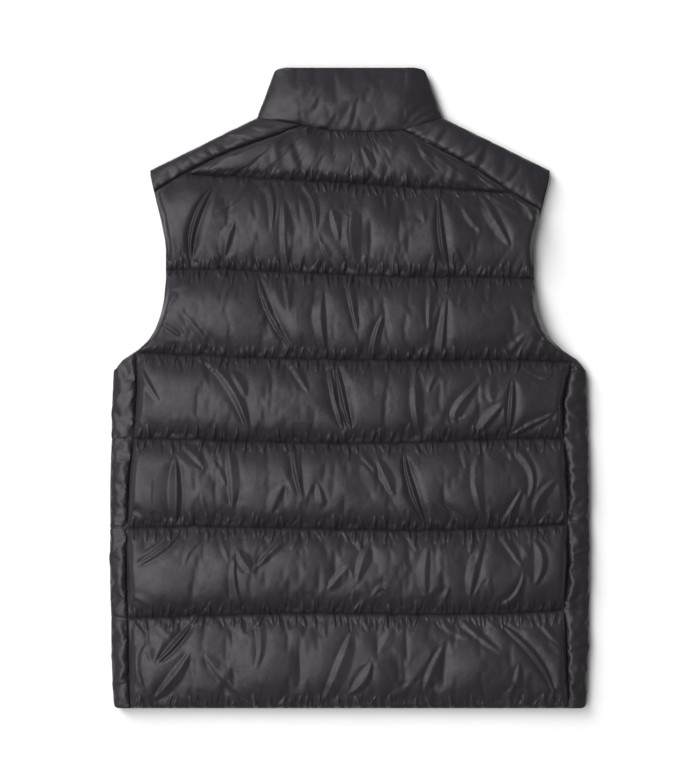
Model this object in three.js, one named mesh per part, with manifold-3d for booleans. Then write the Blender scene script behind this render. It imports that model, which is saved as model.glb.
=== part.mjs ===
// A quilted, padded vest that lies flat on a surface with its back up.
// Millimetres. +X is the wearer's right, +Y runs from the hem to the collar, +Z is up.
// The origin is on the surface, under the middle of the whole vest.

import * as THREE from 'three';
import { mergeVertices } from 'three/addons/utils/BufferGeometryUtils.js';
import Module from 'manifold-3d';

const wasm = await Module();
wasm.setup();

// Driving sizes
const HALF_LENGTH = 366;
const HEM_Y = -HALF_LENGTH;
const COLLAR_TOP_Y = HALF_LENGTH;
const WIDEST_HALF = 275;
const WIDEST_Y = -174;
const SIDE_BOW = 1.085e-4;
const HEM_CORNER = 4;
const LAYER_Z = 10;
const LAYER_GAP = 0.6;
const SEAM_GAP = 0.34;
const STITCH_WALL = 3.4;
const FOLD_INSET = 9;
const ZIP_EDGE_X = 5;

// Colours and finish
const NYLON = new THREE.MeshStandardMaterial({ color: 0x3f3d41, roughness: 0.42, metalness: 0 });
const TAPE = new THREE.MeshStandardMaterial({ color: 0x242326, roughness: 0.9, metalness: 0 });
const COIL = new THREE.MeshStandardMaterial({ color: 0x1d1c1f, roughness: 0.45, metalness: 0 });
const METAL = new THREE.MeshStandardMaterial({ color: 0x57575b, roughness: 0.35, metalness: 1 });

const SIDES = { left: -1, right: 1 };

// Armhole edge from the side fold up to the shoulder tip, for the right half
const ARMHOLE = [
  { x: 260, y: 32 }, { x: 242.5, y: 43.5 }, { x: 230, y: 55 }, { x: 223, y: 66.4 }, { x: 218.5, y: 77.8 },
  { x: 215, y: 89 }, { x: 212.8, y: 100.7 }, { x: 210.5, y: 123.6 }, { x: 210.5, y: 158 }, { x: 211.6, y: 169.3 },
  { x: 213.9, y: 180.7 }, { x: 216.2, y: 192.2 }, { x: 218.5, y: 201.3 }, { x: 221.9, y: 215 },
  { x: 225.4, y: 228.8 }, { x: 228.4, y: 243 },
];
const SIDE_FOLD_TOP = { x: 269, y: 21 };
const SHOULDER_TIP = { x: 228.8, y: 249 };
const NECK_POINT = { x: 106.4, y: 311.2 };

// Side seam of the back, as x at each y
const SIDE_SEAM = {
  left: [
    { y: -366, x: -251.2 }, { y: -326, x: -252.6 }, { y: -283, x: -253.2 }, { y: -240, x: -254.5 },
    { y: -184, x: -255.1 }, { y: -142, x: -253.2 }, { y: -99, x: -251.7 }, { y: -65, x: -247.4 },
    { y: -34, x: -245.3 }, { y: 0, x: -243.2 }, { y: 40.6, x: -244.4 },
  ],
  right: [
    { y: -366, x: 249.7 }, { y: -311.5, x: 247.8 }, { y: -252, x: 244.9 }, { y: -198, x: 249 },
    { y: -158.6, x: 248.8 }, { y: -121.7, x: 249 }, { y: -84, x: 247.1 }, { y: -50, x: 243.4 },
    { y: -15, x: 243.3 }, { y: 8, x: 248 }, { y: 29.7, x: 252.8 },
  ],
};

// Shoulder seam of the back, from the armhole to the neck
const SHOULDER_SEAM = {
  left: [
    { x: -223.3, y: 224.2 }, { x: -192.7, y: 242.9 }, { x: -159.7, y: 260 }, { x: -129.8, y: 273 },
    { x: -85, y: 288.4 }, { x: -65.6, y: 296 }, { x: -55, y: 300.4 },
  ],
  right: [
    { x: 216.9, y: 203.3 }, { x: 179.5, y: 226 }, { x: 149.5, y: 246.3 }, { x: 119.7, y: 263.8 },
    { x: 89.7, y: 279.5 }, { x: 61.3, y: 294.5 },
  ],
};
const NECK_SEAM = [
  { x: -55, y: 300.4 }, { x: -40, y: 297.4 }, { x: -25, y: 295.2 }, { x: 0, y: 293.8 }, { x: 30, y: 293.5 },
  { x: 61.3, y: 294.5 },
];

// Rows of stitching from the hem up: y at the left end, quarter, centre, three-quarter and right end
const STITCH_ROWS = [
  { name: 'hem', left: -366, quarter: -366, centre: -366, threeQuarter: -366, right: -366 },
  { name: 'row6', left: -263, quarter: -259, centre: -258, threeQuarter: -259, right: -253 },
  { name: 'row5', left: -160.5, quarter: -159, centre: -162, threeQuarter: -162, right: -155 },
  { name: 'row4', left: -58, quarter: -61, centre: -63.5, threeQuarter: -60.5, right: -58 },
  { name: 'row3', left: 40.6, quarter: 35, centre: 32, threeQuarter: 32, right: 29.7 },
  { name: 'row2', left: 135, quarter: 134, centre: 129, threeQuarter: 127, right: 125 },
  { name: 'row1', left: 243, quarter: 237.5, centre: 232, threeQuarter: 226.5, right: 221 },
];
const ROW_END_X = { left: -188.8, right: 184.1 };

// Channels from the hem up: how far the padding rises above the stitched wall
const CHANNELS = [
  { name: 'hem', crown: 13 }, { name: 'lower', crown: 16 }, { name: 'waist', crown: 16.5 },
  { name: 'middle', crown: 17 }, { name: 'chest', crown: 17.5 }, { name: 'shoulder', crown: 16.5 },
  { name: 'neck', crown: 12 },
];
const FIRST_ARMHOLE_CHANNEL = 4;
const SEAM_CHANNEL = 5;
const NECK_CHANNEL = 6;

// Where the grid crosses a channel, from one row of stitching to the next
const ACROSS_CHANNEL = [0, 0.07, 0.25, 0.5, 0.75, 0.93];
const BESIDE_STITCH = 0.1;
const CHANNEL_SPAN = 100;
const SEAM_CORNER_AT = 0.75;
const NECK_CORNER_AT = 0.25;
const CROWN_POWER = 0.62;
const EDGE_ROUND = 26;
const BACK_COLUMNS = 66;
const COLUMN_SWING = 0.25;
const GATHERS_PER_ROW = 22;
const GATHER_HEIGHT = 1.3;
const GATHER_REACH = 15;
const GATHER_ON_THREAD = 0.25;
const GATHER_SWING = 0.35;
const SEARCH_STEPS = 400;
const FOLD_STEPS = 12;
const FOLD_END = 0.1;
const ARMHOLE_END_GAP = 4;

// The largest folds of the back: three points along each, its depth and its half width
const FOLD_COLUMNS = ['x1', 'y1', 'x2', 'y2', 'x3', 'y3', 'depth', 'halfWidth'];
const BACK_FOLDS = [
  [-70, 287, -63, 257, -48, 239, 3.5, 7],
  [60, 293, 46, 267, 34, 236, 3.5, 7],
  [117, 262, 115, 245, 109, 232, 3.0, 6],
  [-158, 226, -177, 186, -181, 150, 3.5, 8],
  [-97, 233, -88, 214, -89, 180, 3.5, 6],
  [-54, 232, -42, 211, -39, 180, 3.0, 6],
  [-1, 199, -3, 175, 3, 146, 3.5, 7],
  [101, 216, 104, 169, 112, 136, 4.5, 7],
  [152, 219, 163, 195, 181, 164, 3.5, 7],
  [-105, 126, -92, 87, -68, 45, 5.0, 8],
  [-217, 76, -204, 67, -190, 57, 3.5, 5],
  [-192, 90, -173, 66, -155, 42, 3.5, 7],
  [-3, 128, 2, 97, 8, 65, 3.5, 7],
  [93, 119, 90, 93, 89, 66, 3.0, 8],
  [110, 102, 106, 70, 104, 36, 3.5, 6],
  [199, 61, 188, 48, 177, 36, 4.0, 6],
  [-169, 32, -137, 3, -116, -48, 5.0, 8],
  [-24, 26, -17, -12, -8, -46, 4.0, 6],
  [74, 21, 74, -16, 79, -54, 4.5, 6],
  [163, 19, 158, -1, 163, -17, 3.5, 6],
  [229, -31, 205, -43, 181, -56, 3.5, 7],
  [-139, -64, -135, -100, -134, -135, 4.0, 7],
  [-64, -66, -61, -96, -54, -127, 5.0, 7],
  [8, -66, 17, -81, 32, -98, 4.0, 6],
  [62, -77, 70, -114, 85, -152, 5.0, 6],
  [149, -70, 142, -103, 151, -146, 3.5, 7],
  [195, -116, 185, -136, 174, -157, 3.5, 7],
  [-193, -162, -212, -182, -243, -202, 4.0, 6],
  [-131, -194, -131, -222, -124, -252, 5.0, 7],
  [-70, -167, -92, -188, -111, -208, 4.0, 6],
  [21, -178, 14, -196, 8, -220, 4.5, 6],
  [89, -183, 85, -210, 87, -235, 4.0, 7],
  [153, -172, 142, -204, 137, -236, 3.5, 7],
  [-177, -264, -198, -291, -218, -311, 4.0, 6],
  [169, -268, 208, -303, 231, -343, 6.0, 7],
  [1, -280, -13, -318, -31, -359, 4.0, 9],
].map((row) => Object.fromEntries(row.map((value, i) => [FOLD_COLUMNS[i], value])));

// Underside of a front: flat where it rests, with a groove at each row of stitching
const GROOVE_DEPTH = 2.2;
const GROOVE_SHOULDER = 0.4;
const RIM_LIFT = 0.3;
const FRONT_EDGE_LIFT = 1.6;
const ARMHOLE_EDGE_LIFT = 2.4;
const FRONT_ROW1_Y = 229;

// The padded turn of a front or of the collar, from the underside round to the top
// under and over give the place between the fold and the edge of the flat part or the seam
const TURN = [
  { on: 'under', share: 0.5, z: 1.2, pinchedZ: 2.8, innerInset: 7.4, innerZ: 9.7 },
  { on: 'under', share: 0.13, z: 4.2, pinchedZ: 5.2, innerInset: 6.9, innerZ: 9.84 },
  { on: 'fold', share: 0, z: 9, pinchedZ: 9, innerInset: 6.7, innerZ: 10 },
  { on: 'over', share: 0.06, z: 13.4, pinchedZ: 12, innerInset: 6.9, innerZ: 10.16 },
  { on: 'over', share: 0.22, z: 16.8, pinchedZ: 13.3, innerInset: 7.4, innerZ: 10.3 },
  { on: 'over', share: 0.46, z: 18.3, pinchedZ: 13.8, innerInset: null, innerZ: 10.3 },
  { on: 'over', share: 0.74, z: 17.2, pinchedZ: 13.8, innerInset: null, innerZ: 10.3 },
  { on: 'over', share: 1, z: 13.6, pinchedZ: 13.5, innerInset: null, innerZ: 10.3 },
];
const PINCH_INSET = 0.8;
const SIDE_SWELL = 0.07;
const SHOULDER_SWELL = 0.084;
const RIM_PUFF = 0.04;
const RIM_POWER = 0.5;

// Front neckline and collar
const FRONT_NECK = { start: { x: ZIP_EDGE_X, y: 258 }, pull: { x: 72, y: 258 }, end: { x: 102.3, y: 303.2 } };
const COLLAR_FRONT_TOP = { start: { x: ZIP_EDGE_X, y: 338 }, pull: { x: 52, y: 338 }, end: { x: 79, y: 358.5 } };
const COLLAR_TURN_TOP = [
  { x: 83, y: 360.2 }, { x: 86.6, y: 360.8 }, { x: 87.7, y: 358.6 }, { x: 86.2, y: 361.6 }, { x: 82.6, y: 364.2 },
];
const COLLAR_BACK_TOP_X = 74;
const COLLAR_ROWS = [0, 0.08, 0.22, 0.42, 0.62, 0.8, 0.93, 1];
const COLLAR_PUFF = 7.6;
const COLLAR_EDGE_LIFT = 2;
const COLLAR_CLEARANCE = 0.42;
const COLLAR_NUDGE = 0.3;
const COLLAR_INNER_DROP = 0.45;
const COLLAR_OPEN_LIFT = 0.6;
const COLLAR_BACK_STEPS = 3;
const FOLD_STEP = 2;
const COLLAR_FOLD_COLUMNS = ['x', 'y', 'height', 'reach'];
const COLLAR_FOLDS = [
  [-85, 316, 2.2, 9], [-52, 315, 2.4, 8], [-30, 316, -1.6, 9], [66, 304, -1.8, 7], [78, 318, 2.4, 8],
  [98, 317, 1.6, 7], [20, 309, -1.2, 10],
].map((row) => Object.fromEntries(row.map((value, i) => [COLLAR_FOLD_COLUMNS[i], value])));

// Zip, in the gap between the fronts
const ZIP_BOTTOM_Y = -359;
const TAPE_TOP_Y = 334;
const TAPE_IN_X = 2.9;
const TAPE_OUT_X = 4.7;
const TAPE_Z = [6.4, 7.2];
const CHAIN_HALF = 2.6;
const CHAIN_Z = [5.6, 8];
const SLIDER_Y = 325;
const SLIDER = { halfWide: 4, halfNarrow: 3.1, halfLong: 5.5, outerZ: [3.8, 5.3], innerZ: [8.3, 9.4] };
const FLANGE = { inX: 3.3, outX: 4, lowZ: [5.2, 6.1], highZ: [7.5, 8.4] };
const POST = { halfX: 1, low: 3.2, high: 5.2 };
const PIVOT = { y: 325, z: 2.5 };
const BAIL = { halfX: 1, legIn: 2.3, legOut: 3.65, topZ: 3.9, bridgeZ: [0.6, 1.5] };
const PULL = { halfX: 3, armIn: 1.3, bar: 0.6, windowEnd: 4.5, length: 22, halfThick: 0.7, round: 2 };
const ZIP_BOX = { halfX: 4.6, y: [-365.6, -359.3], z: [5.2, 8.6] };

// Small helpers
const mix = (a, b, t) => a + (b - a) * t;
const mixPoint = (a, b, t) => ({ x: mix(a.x, b.x, t), y: mix(a.y, b.y, t) });
const distance = (a, b) => Math.hypot(a.x - b.x, a.y - b.y);
const spaceBetween = (a, b) => Math.hypot(a.x - b.x, a.y - b.y, a.z - b.z);
const shifted = (p, dx, dy) => ({ x: p.x + dx, y: p.y + dy });

function valueAt(table, key, value, at) {
  const last = table.length - 1;
  let i = 0;
  while (i < last - 1 && at > table[i + 1][key]) i += 1;
  const share = (at - table[i][key]) / (table[i + 1][key] - table[i][key]);
  return mix(table[i][value], table[i + 1][value], THREE.MathUtils.clamp(share, 0, 1));
}

function alongLine(points, share) {
  const lengths = points.slice(1).map((p, i) => distance(p, points[i]));
  let left = share * lengths.reduce((sum, length) => sum + length, 0);
  for (let i = 0; i < lengths.length; i += 1) {
    if (left <= lengths[i] || i === lengths.length - 1) {
      return mixPoint(points[i], points[i + 1], Math.min(1, left / lengths[i]));
    }
    left -= lengths[i];
  }
  return points[points.length - 1];
}

function quadratic({ start, pull, end }, t) {
  return mixPoint(mixPoint(start, pull, t), mixPoint(pull, end, t), t);
}

const mirrored = (p, side) => ({ x: p.x * SIDES[side], y: p.y });

// A closed wall between outer and inner points: cells name four outer corners each,
// and flatLoop, where given, goes round a stretch whose inner face is one flat cap,
// in the same turn as the outer cells
function wall(outer, inner, cells, flatLoop = null, cappedCells = new Set()) {
  const count = outer.length;
  const triangles = [];
  const edges = new Map();
  const addEdge = (a, b) => {
    const twin = `${b}_${a}`;
    if (edges.has(twin)) edges.delete(twin);
    else edges.set(`${a}_${b}`, [a, b]);
  };
  cells.forEach(([a, b, c, d], index) => {
    for (const [p, q, r] of [[a, b, c], [a, c, d]]) {
      triangles.push([p, q, r]);
      if (!cappedCells.has(index)) triangles.push([p + count, r + count, q + count]);
      addEdge(p, q);
      addEdge(q, r);
      addEdge(r, p);
    }
  });
  for (const [a, b] of edges.values()) {
    const one = spaceBetween(outer[b], inner[a]);
    const other = spaceBetween(outer[a], inner[b]);
    if (one < other) triangles.push([b, a, a + count], [b, a + count, b + count]);
    else triangles.push([b, a, b + count], [a, a + count, b + count]);
  }
  if (flatLoop) {
    const rim = flatLoop.map((id) => new THREE.Vector2(inner[id].x, inner[id].y));
    const faces = THREE.ShapeUtils.triangulateShape(rim, []);
    const turn = faces.reduce((sum, face) => sum + THREE.ShapeUtils.area(face.map((corner) => rim[corner])), 0);
    const sameTurn = Math.sign(turn) === Math.sign(THREE.ShapeUtils.area(rim));
    for (const face of faces) {
      const ids = face.map((corner) => flatLoop[corner] + count);
      triangles.push(sameTurn ? ids.reverse() : ids);
    }
  }
  return closedGeometry([...outer, ...inner], triangles);
}

function closedGeometry(points, triangles) {
  const positions = new Float32Array(points.flatMap((p) => [p.x, p.y, p.z]));
  let volume = 0;
  for (const [a, b, c] of triangles) {
    const [p, q, r] = [points[a], points[b], points[c]];
    volume += p.x * (q.y * r.z - q.z * r.y) - p.y * (q.x * r.z - q.z * r.x) + p.z * (q.x * r.y - q.y * r.x);
  }
  const outward = volume > 0 ? triangles : triangles.map(([a, b, c]) => [a, c, b]);
  const used = new Map();
  const index = outward.flat().map((id) => {
    if (!used.has(id)) used.set(id, used.size);
    return used.get(id);
  });
  const packed = new Float32Array(used.size * 3);
  for (const [id, place] of used) packed.set(positions.subarray(id * 3, id * 3 + 3), place * 3);
  const geometry = new THREE.BufferGeometry();
  geometry.setAttribute('position', new THREE.BufferAttribute(packed, 3));
  geometry.setIndex(index);
  return geometry;
}

// Cells of a grid of ids, row by row
function gridCells(rows) {
  const cells = [];
  for (let r = 0; r + 1 < rows.length; r += 1) {
    for (let c = 0; c + 1 < rows[r].length; c += 1) {
      cells.push([rows[r][c], rows[r][c + 1], rows[r + 1][c + 1], rows[r + 1][c]]);
    }
  }
  return cells;
}

// How puffed a channel is between its two rows of stitching: 0 at the thread, 1 in the middle
const puffAt = (across) => Math.sin(Math.PI * across) ** CROWN_POWER;

// The same for a piece that isn't stitched flat at its rim
const puffAtRim = (across) => Math.sin(Math.PI * mix(RIM_PUFF, 1 - RIM_PUFF, across)) ** RIM_POWER;

// Every grid row from the hem up, as the channel it is in and its place across it
const GRID_ROWS = [
  ...CHANNELS.flatMap((channel, index) => ACROSS_CHANNEL.map((across) => ({ index, across }))),
  { index: NECK_CHANNEL, across: 1 },
];

function armholeFrom(side) {
  const seamTop = SIDE_SEAM[side][SIDE_SEAM[side].length - 1];
  const end = SHOULDER_SEAM[side][0];
  const between = ARMHOLE.filter((p) => p.y > seamTop.y + ARMHOLE_END_GAP && p.y < end.y - ARMHOLE_END_GAP);
  return [seamTop, ...between.map((p) => mirrored(p, side)), end];
}

// The back's edge on one side, at a grid row
function backEdge(side, { index, across }) {
  if (index < FIRST_ARMHOLE_CHANNEL) {
    const y = mix(STITCH_ROWS[index][side], STITCH_ROWS[index + 1][side], across);
    return { x: valueAt(SIDE_SEAM[side], 'y', 'x', y), y };
  }
  const armhole = armholeFrom(side);
  const armholeEnd = armhole[armhole.length - 1];
  const row2 = STITCH_ROWS[SEAM_CHANNEL][side];
  if (index === FIRST_ARMHOLE_CHANNEL) {
    const y = mix(armhole[0].y, row2, across);
    return { x: valueAt(armhole, 'y', 'x', y), y };
  }
  const rowEnd = { x: ROW_END_X[side], y: STITCH_ROWS[NECK_CHANNEL][side] };
  if (index === SEAM_CHANNEL && across <= SEAM_CORNER_AT) {
    const y = mix(row2, armholeEnd.y, across / SEAM_CORNER_AT);
    return { x: valueAt(armhole, 'y', 'x', y), y };
  }
  const seam = SHOULDER_SEAM[side];
  const rowEndShare = shareAt(seam, rowEnd.x);
  if (index === SEAM_CHANNEL) {
    return alongLine(seam, rowEndShare * (across - SEAM_CORNER_AT) / (1 - SEAM_CORNER_AT));
  }
  return alongLine(seam, mix(rowEndShare, 1, across));
}

function shareAt(points, x) {
  let best = 0;
  for (let i = 0; i <= SEARCH_STEPS; i += 1) {
    const share = i / SEARCH_STEPS;
    const off = Math.abs(alongLine(points, share).x - x);
    if (off < Math.abs(alongLine(points, best).x - x)) best = share;
  }
  return best;
}

// How far a row of stitching bows away from the straight line between its ends
function bowAt(row, u) {
  if (!row) {
    const [first, last] = [NECK_SEAM[0], NECK_SEAM[NECK_SEAM.length - 1]];
    const x = mix(first.x, last.x, u);
    return valueAt(NECK_SEAM, 'x', 'y', x) - mix(first.y, last.y, u);
  }
  const stops = [row.left, row.quarter, row.centre, row.threeQuarter, row.right];
  const place = Math.min(u * (stops.length - 1), stops.length - 1 - 1e-9);
  const i = Math.floor(place);
  return mix(stops[i], stops[i + 1], place - i) - mix(row.left, row.right, u);
}

function foldDepth(p) {
  let depth = 0;
  for (const fold of BACK_FOLDS) {
    const line = [{ x: fold.x1, y: fold.y1 }, { x: fold.x2, y: fold.y2 }, { x: fold.x3, y: fold.y3 }];
    let nearest = Infinity;
    let at = 0;
    for (let i = 0; i <= FOLD_STEPS; i += 1) {
      const away = distance(p, alongLine(line, i / FOLD_STEPS));
      if (away < nearest) {
        nearest = away;
        at = i / FOLD_STEPS;
      }
    }
    const taper = Math.sqrt(Math.sin(Math.PI * mix(FOLD_END, 1 - FOLD_END, at)));
    depth = Math.max(depth, fold.depth * taper * Math.exp(-((nearest / fold.halfWidth) ** 2)));
  }
  return depth;
}

function backPanel() {
  const half = SEAM_GAP / 2;
  const outer = [];
  const inner = [];
  const rows = GRID_ROWS.map((row, r) => {
    const left = shifted(backEdge('left', row), half, r > 0 ? -half : 0);
    const right = shifted(backEdge('right', row), -half, r > 0 ? -half : 0);
    const below = STITCH_ROWS[row.index];
    const above = STITCH_ROWS[row.index + 1];
    const puff = puffAt(row.across);
    const stitched = row.across === 0 || row.across === 1;
    return Array.from({ length: BACK_COLUMNS + 1 }, (_, c) => {
      const ends = c === 0 || c === BACK_COLUMNS;
      const swing = ends ? 0 : Math.sin(c * GATHER_SWING * Math.PI) * COLUMN_SWING;
      const u = (c + swing) / BACK_COLUMNS;
      const p = mixPoint(left, right, u);
      p.y += mix(bowAt(below, u), bowAt(above, u), row.across);
      const fromEdge = Math.min(distance(p, left), distance(p, right), EDGE_ROUND) / EDGE_ROUND;
      const round = Math.sqrt(1 - (1 - fromEdge) ** 2);
      const fromThread = Math.min(row.across, 1 - row.across) * CHANNEL_SPAN;
      const gather = GATHER_HEIGHT * Math.cos((2 * Math.PI * c * GATHERS_PER_ROW) / BACK_COLUMNS)
        * Math.exp(-((fromThread / GATHER_REACH) ** 2)) * (stitched ? GATHER_ON_THREAD : 1);
      const rise = CHANNELS[row.index].crown * puff * round;
      const fold = Math.min(foldDepth(p), rise * 0.5);
      const z = LAYER_Z + LAYER_GAP / 2 + STITCH_WALL + rise - fold + gather * round;
      outer.push({ ...p, z });
      inner.push({ ...p, z: LAYER_Z + LAYER_GAP / 2 });
      return outer.length - 1;
    });
  });
  const cells = gridCells(rows);
  const loop = [
    ...rows[0],
    ...rows.slice(1, -1).map((row) => row[BACK_COLUMNS]),
    ...[...rows[rows.length - 1]].reverse(),
    ...rows.slice(1, -1).map((row) => row[0]).reverse(),
  ];
  return wall(outer, inner, cells, loop, new Set(cells.keys()));
}

// The outermost line of the laid vest on one side, below the armhole
function sideFold(y) {
  const corner = y < HEM_Y + HEM_CORNER ? HEM_CORNER : 0;
  return WIDEST_HALF - SIDE_BOW * (y - WIDEST_Y) ** 2 - corner;
}

// A front's inner edge at a grid row: the zip edge, then the neckline
function frontInnerEdge({ index, across }) {
  if (index < NECK_CHANNEL) {
    const below = STITCH_ROWS[index].centre;
    const above = index + 1 < NECK_CHANNEL ? STITCH_ROWS[index + 1].centre : FRONT_ROW1_Y;
    return { x: ZIP_EDGE_X, y: mix(below, above, across) };
  }
  if (across <= NECK_CORNER_AT) {
    return { x: ZIP_EDGE_X, y: mix(FRONT_ROW1_Y, FRONT_NECK.start.y, across / NECK_CORNER_AT) };
  }
  return quadratic(FRONT_NECK, (across - NECK_CORNER_AT) / (1 - NECK_CORNER_AT));
}

// Where a front's flat part ends on the outside: short of the side fold, then on the armhole
function frontOuterEdge({ index, across }, side) {
  if (index < FIRST_ARMHOLE_CHANNEL) {
    const y = mix(STITCH_ROWS[index][side], Math.min(STITCH_ROWS[index + 1][side], ARMHOLE[0].y), across);
    return { x: sideFold(y) - FOLD_INSET, y };
  }
  const armholeRows = CHANNELS.length - FIRST_ARMHOLE_CHANNEL;
  const at = (index - FIRST_ARMHOLE_CHANNEL + across) / armholeRows;
  return alongLine(ARMHOLE, at);
}

// Where a front folds round the side; above the last full row it runs up to the armhole's corner
function sideFoldPoint({ index, across }, side, seamY, puff) {
  if (index === FIRST_ARMHOLE_CHANNEL) return SIDE_FOLD_TOP;
  const topChannel = index === FIRST_ARMHOLE_CHANNEL - 1;
  const y = topChannel ? mix(STITCH_ROWS[index][side], SIDE_FOLD_TOP.y, across) : seamY;
  return { x: sideFold(y) - PINCH_INSET * (1 - puff), y };
}

// One column of the padded turn, from the flat part round the fold to the seam
function turnColumn(step, edge, fold, seam, puff) {
  const target = step.on === 'under' ? edge : seam;
  const outer = mixPoint(fold, target, step.share);
  const inner = step.innerInset === null
    ? outer
    : mixPoint(fold, target, step.innerInset / distance(fold, target));
  return {
    outer: { ...outer, z: mix(step.pinchedZ, step.z, puff) },
    inner: { ...inner, z: step.innerZ },
  };
}

function frontPanel(side) {
  const seamHalf = SEAM_GAP / 2;
  const sign = SIDES[side];
  const outer = [];
  const inner = [];
  const add = (outerPoint, innerPoint) => {
    outer.push({ x: outerPoint.x * sign, y: outerPoint.y, z: outerPoint.z });
    inner.push({ x: innerPoint.x * sign, y: innerPoint.y, z: innerPoint.z });
    return outer.length - 1;
  };
  const rightHanded = (p) => ({ x: p.x * sign, y: p.y });

  // Columns follow the back's grid rows along the shoulder seam, so both edges match
  const seamRows = GRID_ROWS.filter(({ index, across }) => index > SEAM_CHANNEL
    || (index === SEAM_CHANNEL && across >= SEAM_CORNER_AT));
  const seamPoints = seamRows.map((row) => rightHanded(backEdge(side, row))).reverse();
  const seamLength = seamPoints.slice(1).reduce((sum, p, i) => sum + distance(p, seamPoints[i]), 0);
  let walked = 0;
  const columnShares = seamPoints.map((p, i) => {
    if (i > 0) walked += distance(p, seamPoints[i - 1]);
    return walked / seamLength;
  });

  const lastColumn = columnShares.length - 1;
  const mainRows = GRID_ROWS.map((row, r) => {
    const topRow = r === GRID_ROWS.length - 1;
    const start = frontInnerEdge(row);
    const end = frontOuterEdge(row, side);
    const puff = puffAt(row.across);
    return columnShares.map((share, c) => {
      const p = mixPoint(start, end, share);
      let z = 0;
      if (Math.min(row.across, 1 - row.across) < BESIDE_STITCH) z = GROOVE_SHOULDER;
      if (row.across === 0) z = GROOVE_DEPTH;
      if (topRow) z = RIM_LIFT;
      if (c === 0) z = Math.max(z, FRONT_EDGE_LIFT);
      if (c === lastColumn && row.index >= FIRST_ARMHOLE_CHANNEL) z = Math.max(z, ARMHOLE_EDGE_LIFT);
      if (c === lastColumn && row.index < FIRST_ARMHOLE_CHANNEL) z = mix(GROOVE_DEPTH, RIM_LIFT, puff);
      return add({ ...p, z }, { ...p, z: LAYER_Z - LAYER_GAP / 2 });
    });
  });
  const mainCells = gridCells(mainRows);

  // The strip that wraps the side up to the side seam
  const sideRows = GRID_ROWS.filter(({ index, across }) => index < FIRST_ARMHOLE_CHANNEL
    || (index === FIRST_ARMHOLE_CHANNEL && across === 0)).map((row, r) => {
    const edge = frontOuterEdge(row, side);
    const seam = shifted(rightHanded(backEdge(side, row)), seamHalf, 0);
    const puff = puffAt(row.across);
    const fold = sideFoldPoint(row, side, seam.y, puff);
    const swell = 1 + SIDE_SWELL * Math.sin(2 * r);
    const ids = TURN.map((step) => {
      const column = turnColumn(step, edge, fold, seam, puff * swell);
      return add(column.outer, column.inner);
    });
    return [mainRows[r][lastColumn], ...ids];
  });

  // The strip that wraps the shoulder up to the shoulder seam
  const topIds = mainRows[mainRows.length - 1];
  const shoulderRows = columnShares.map((share, c) => {
    const edgePoint = outer[topIds[c]];
    const edge = { x: edgePoint.x * sign, y: edgePoint.y };
    const fold = mixPoint(NECK_POINT, SHOULDER_TIP, share);
    const seam = shifted(seamPoints[c], seamHalf * 0.5, seamHalf);
    const atEnd = c === 0 || c === lastColumn;
    const swell = 1 + SHOULDER_SWELL * Math.sin(2 * c + SIDES[side]);
    const ids = TURN.map((step) => {
      const column = turnColumn(step, edge, fold, seam, atEnd ? puffAtRim(0) : swell);
      return add(column.outer, column.inner);
    });
    return [topIds[c], ...ids];
  });

  const cells = [
    ...mainCells,
    ...gridCells(sideRows),
    ...gridCells(shoulderRows).map((cell) => [...cell].reverse()),
  ];
  const loop = [
    ...mainRows[0],
    ...mainRows.slice(1, -1).map((row) => row[lastColumn]),
    ...[...topIds].reverse(),
    ...mainRows.slice(1, -1).map((row) => row[0]).reverse(),
  ];
  return wall(outer, inner, cells, loop, new Set(mainCells.keys()));
}

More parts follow.
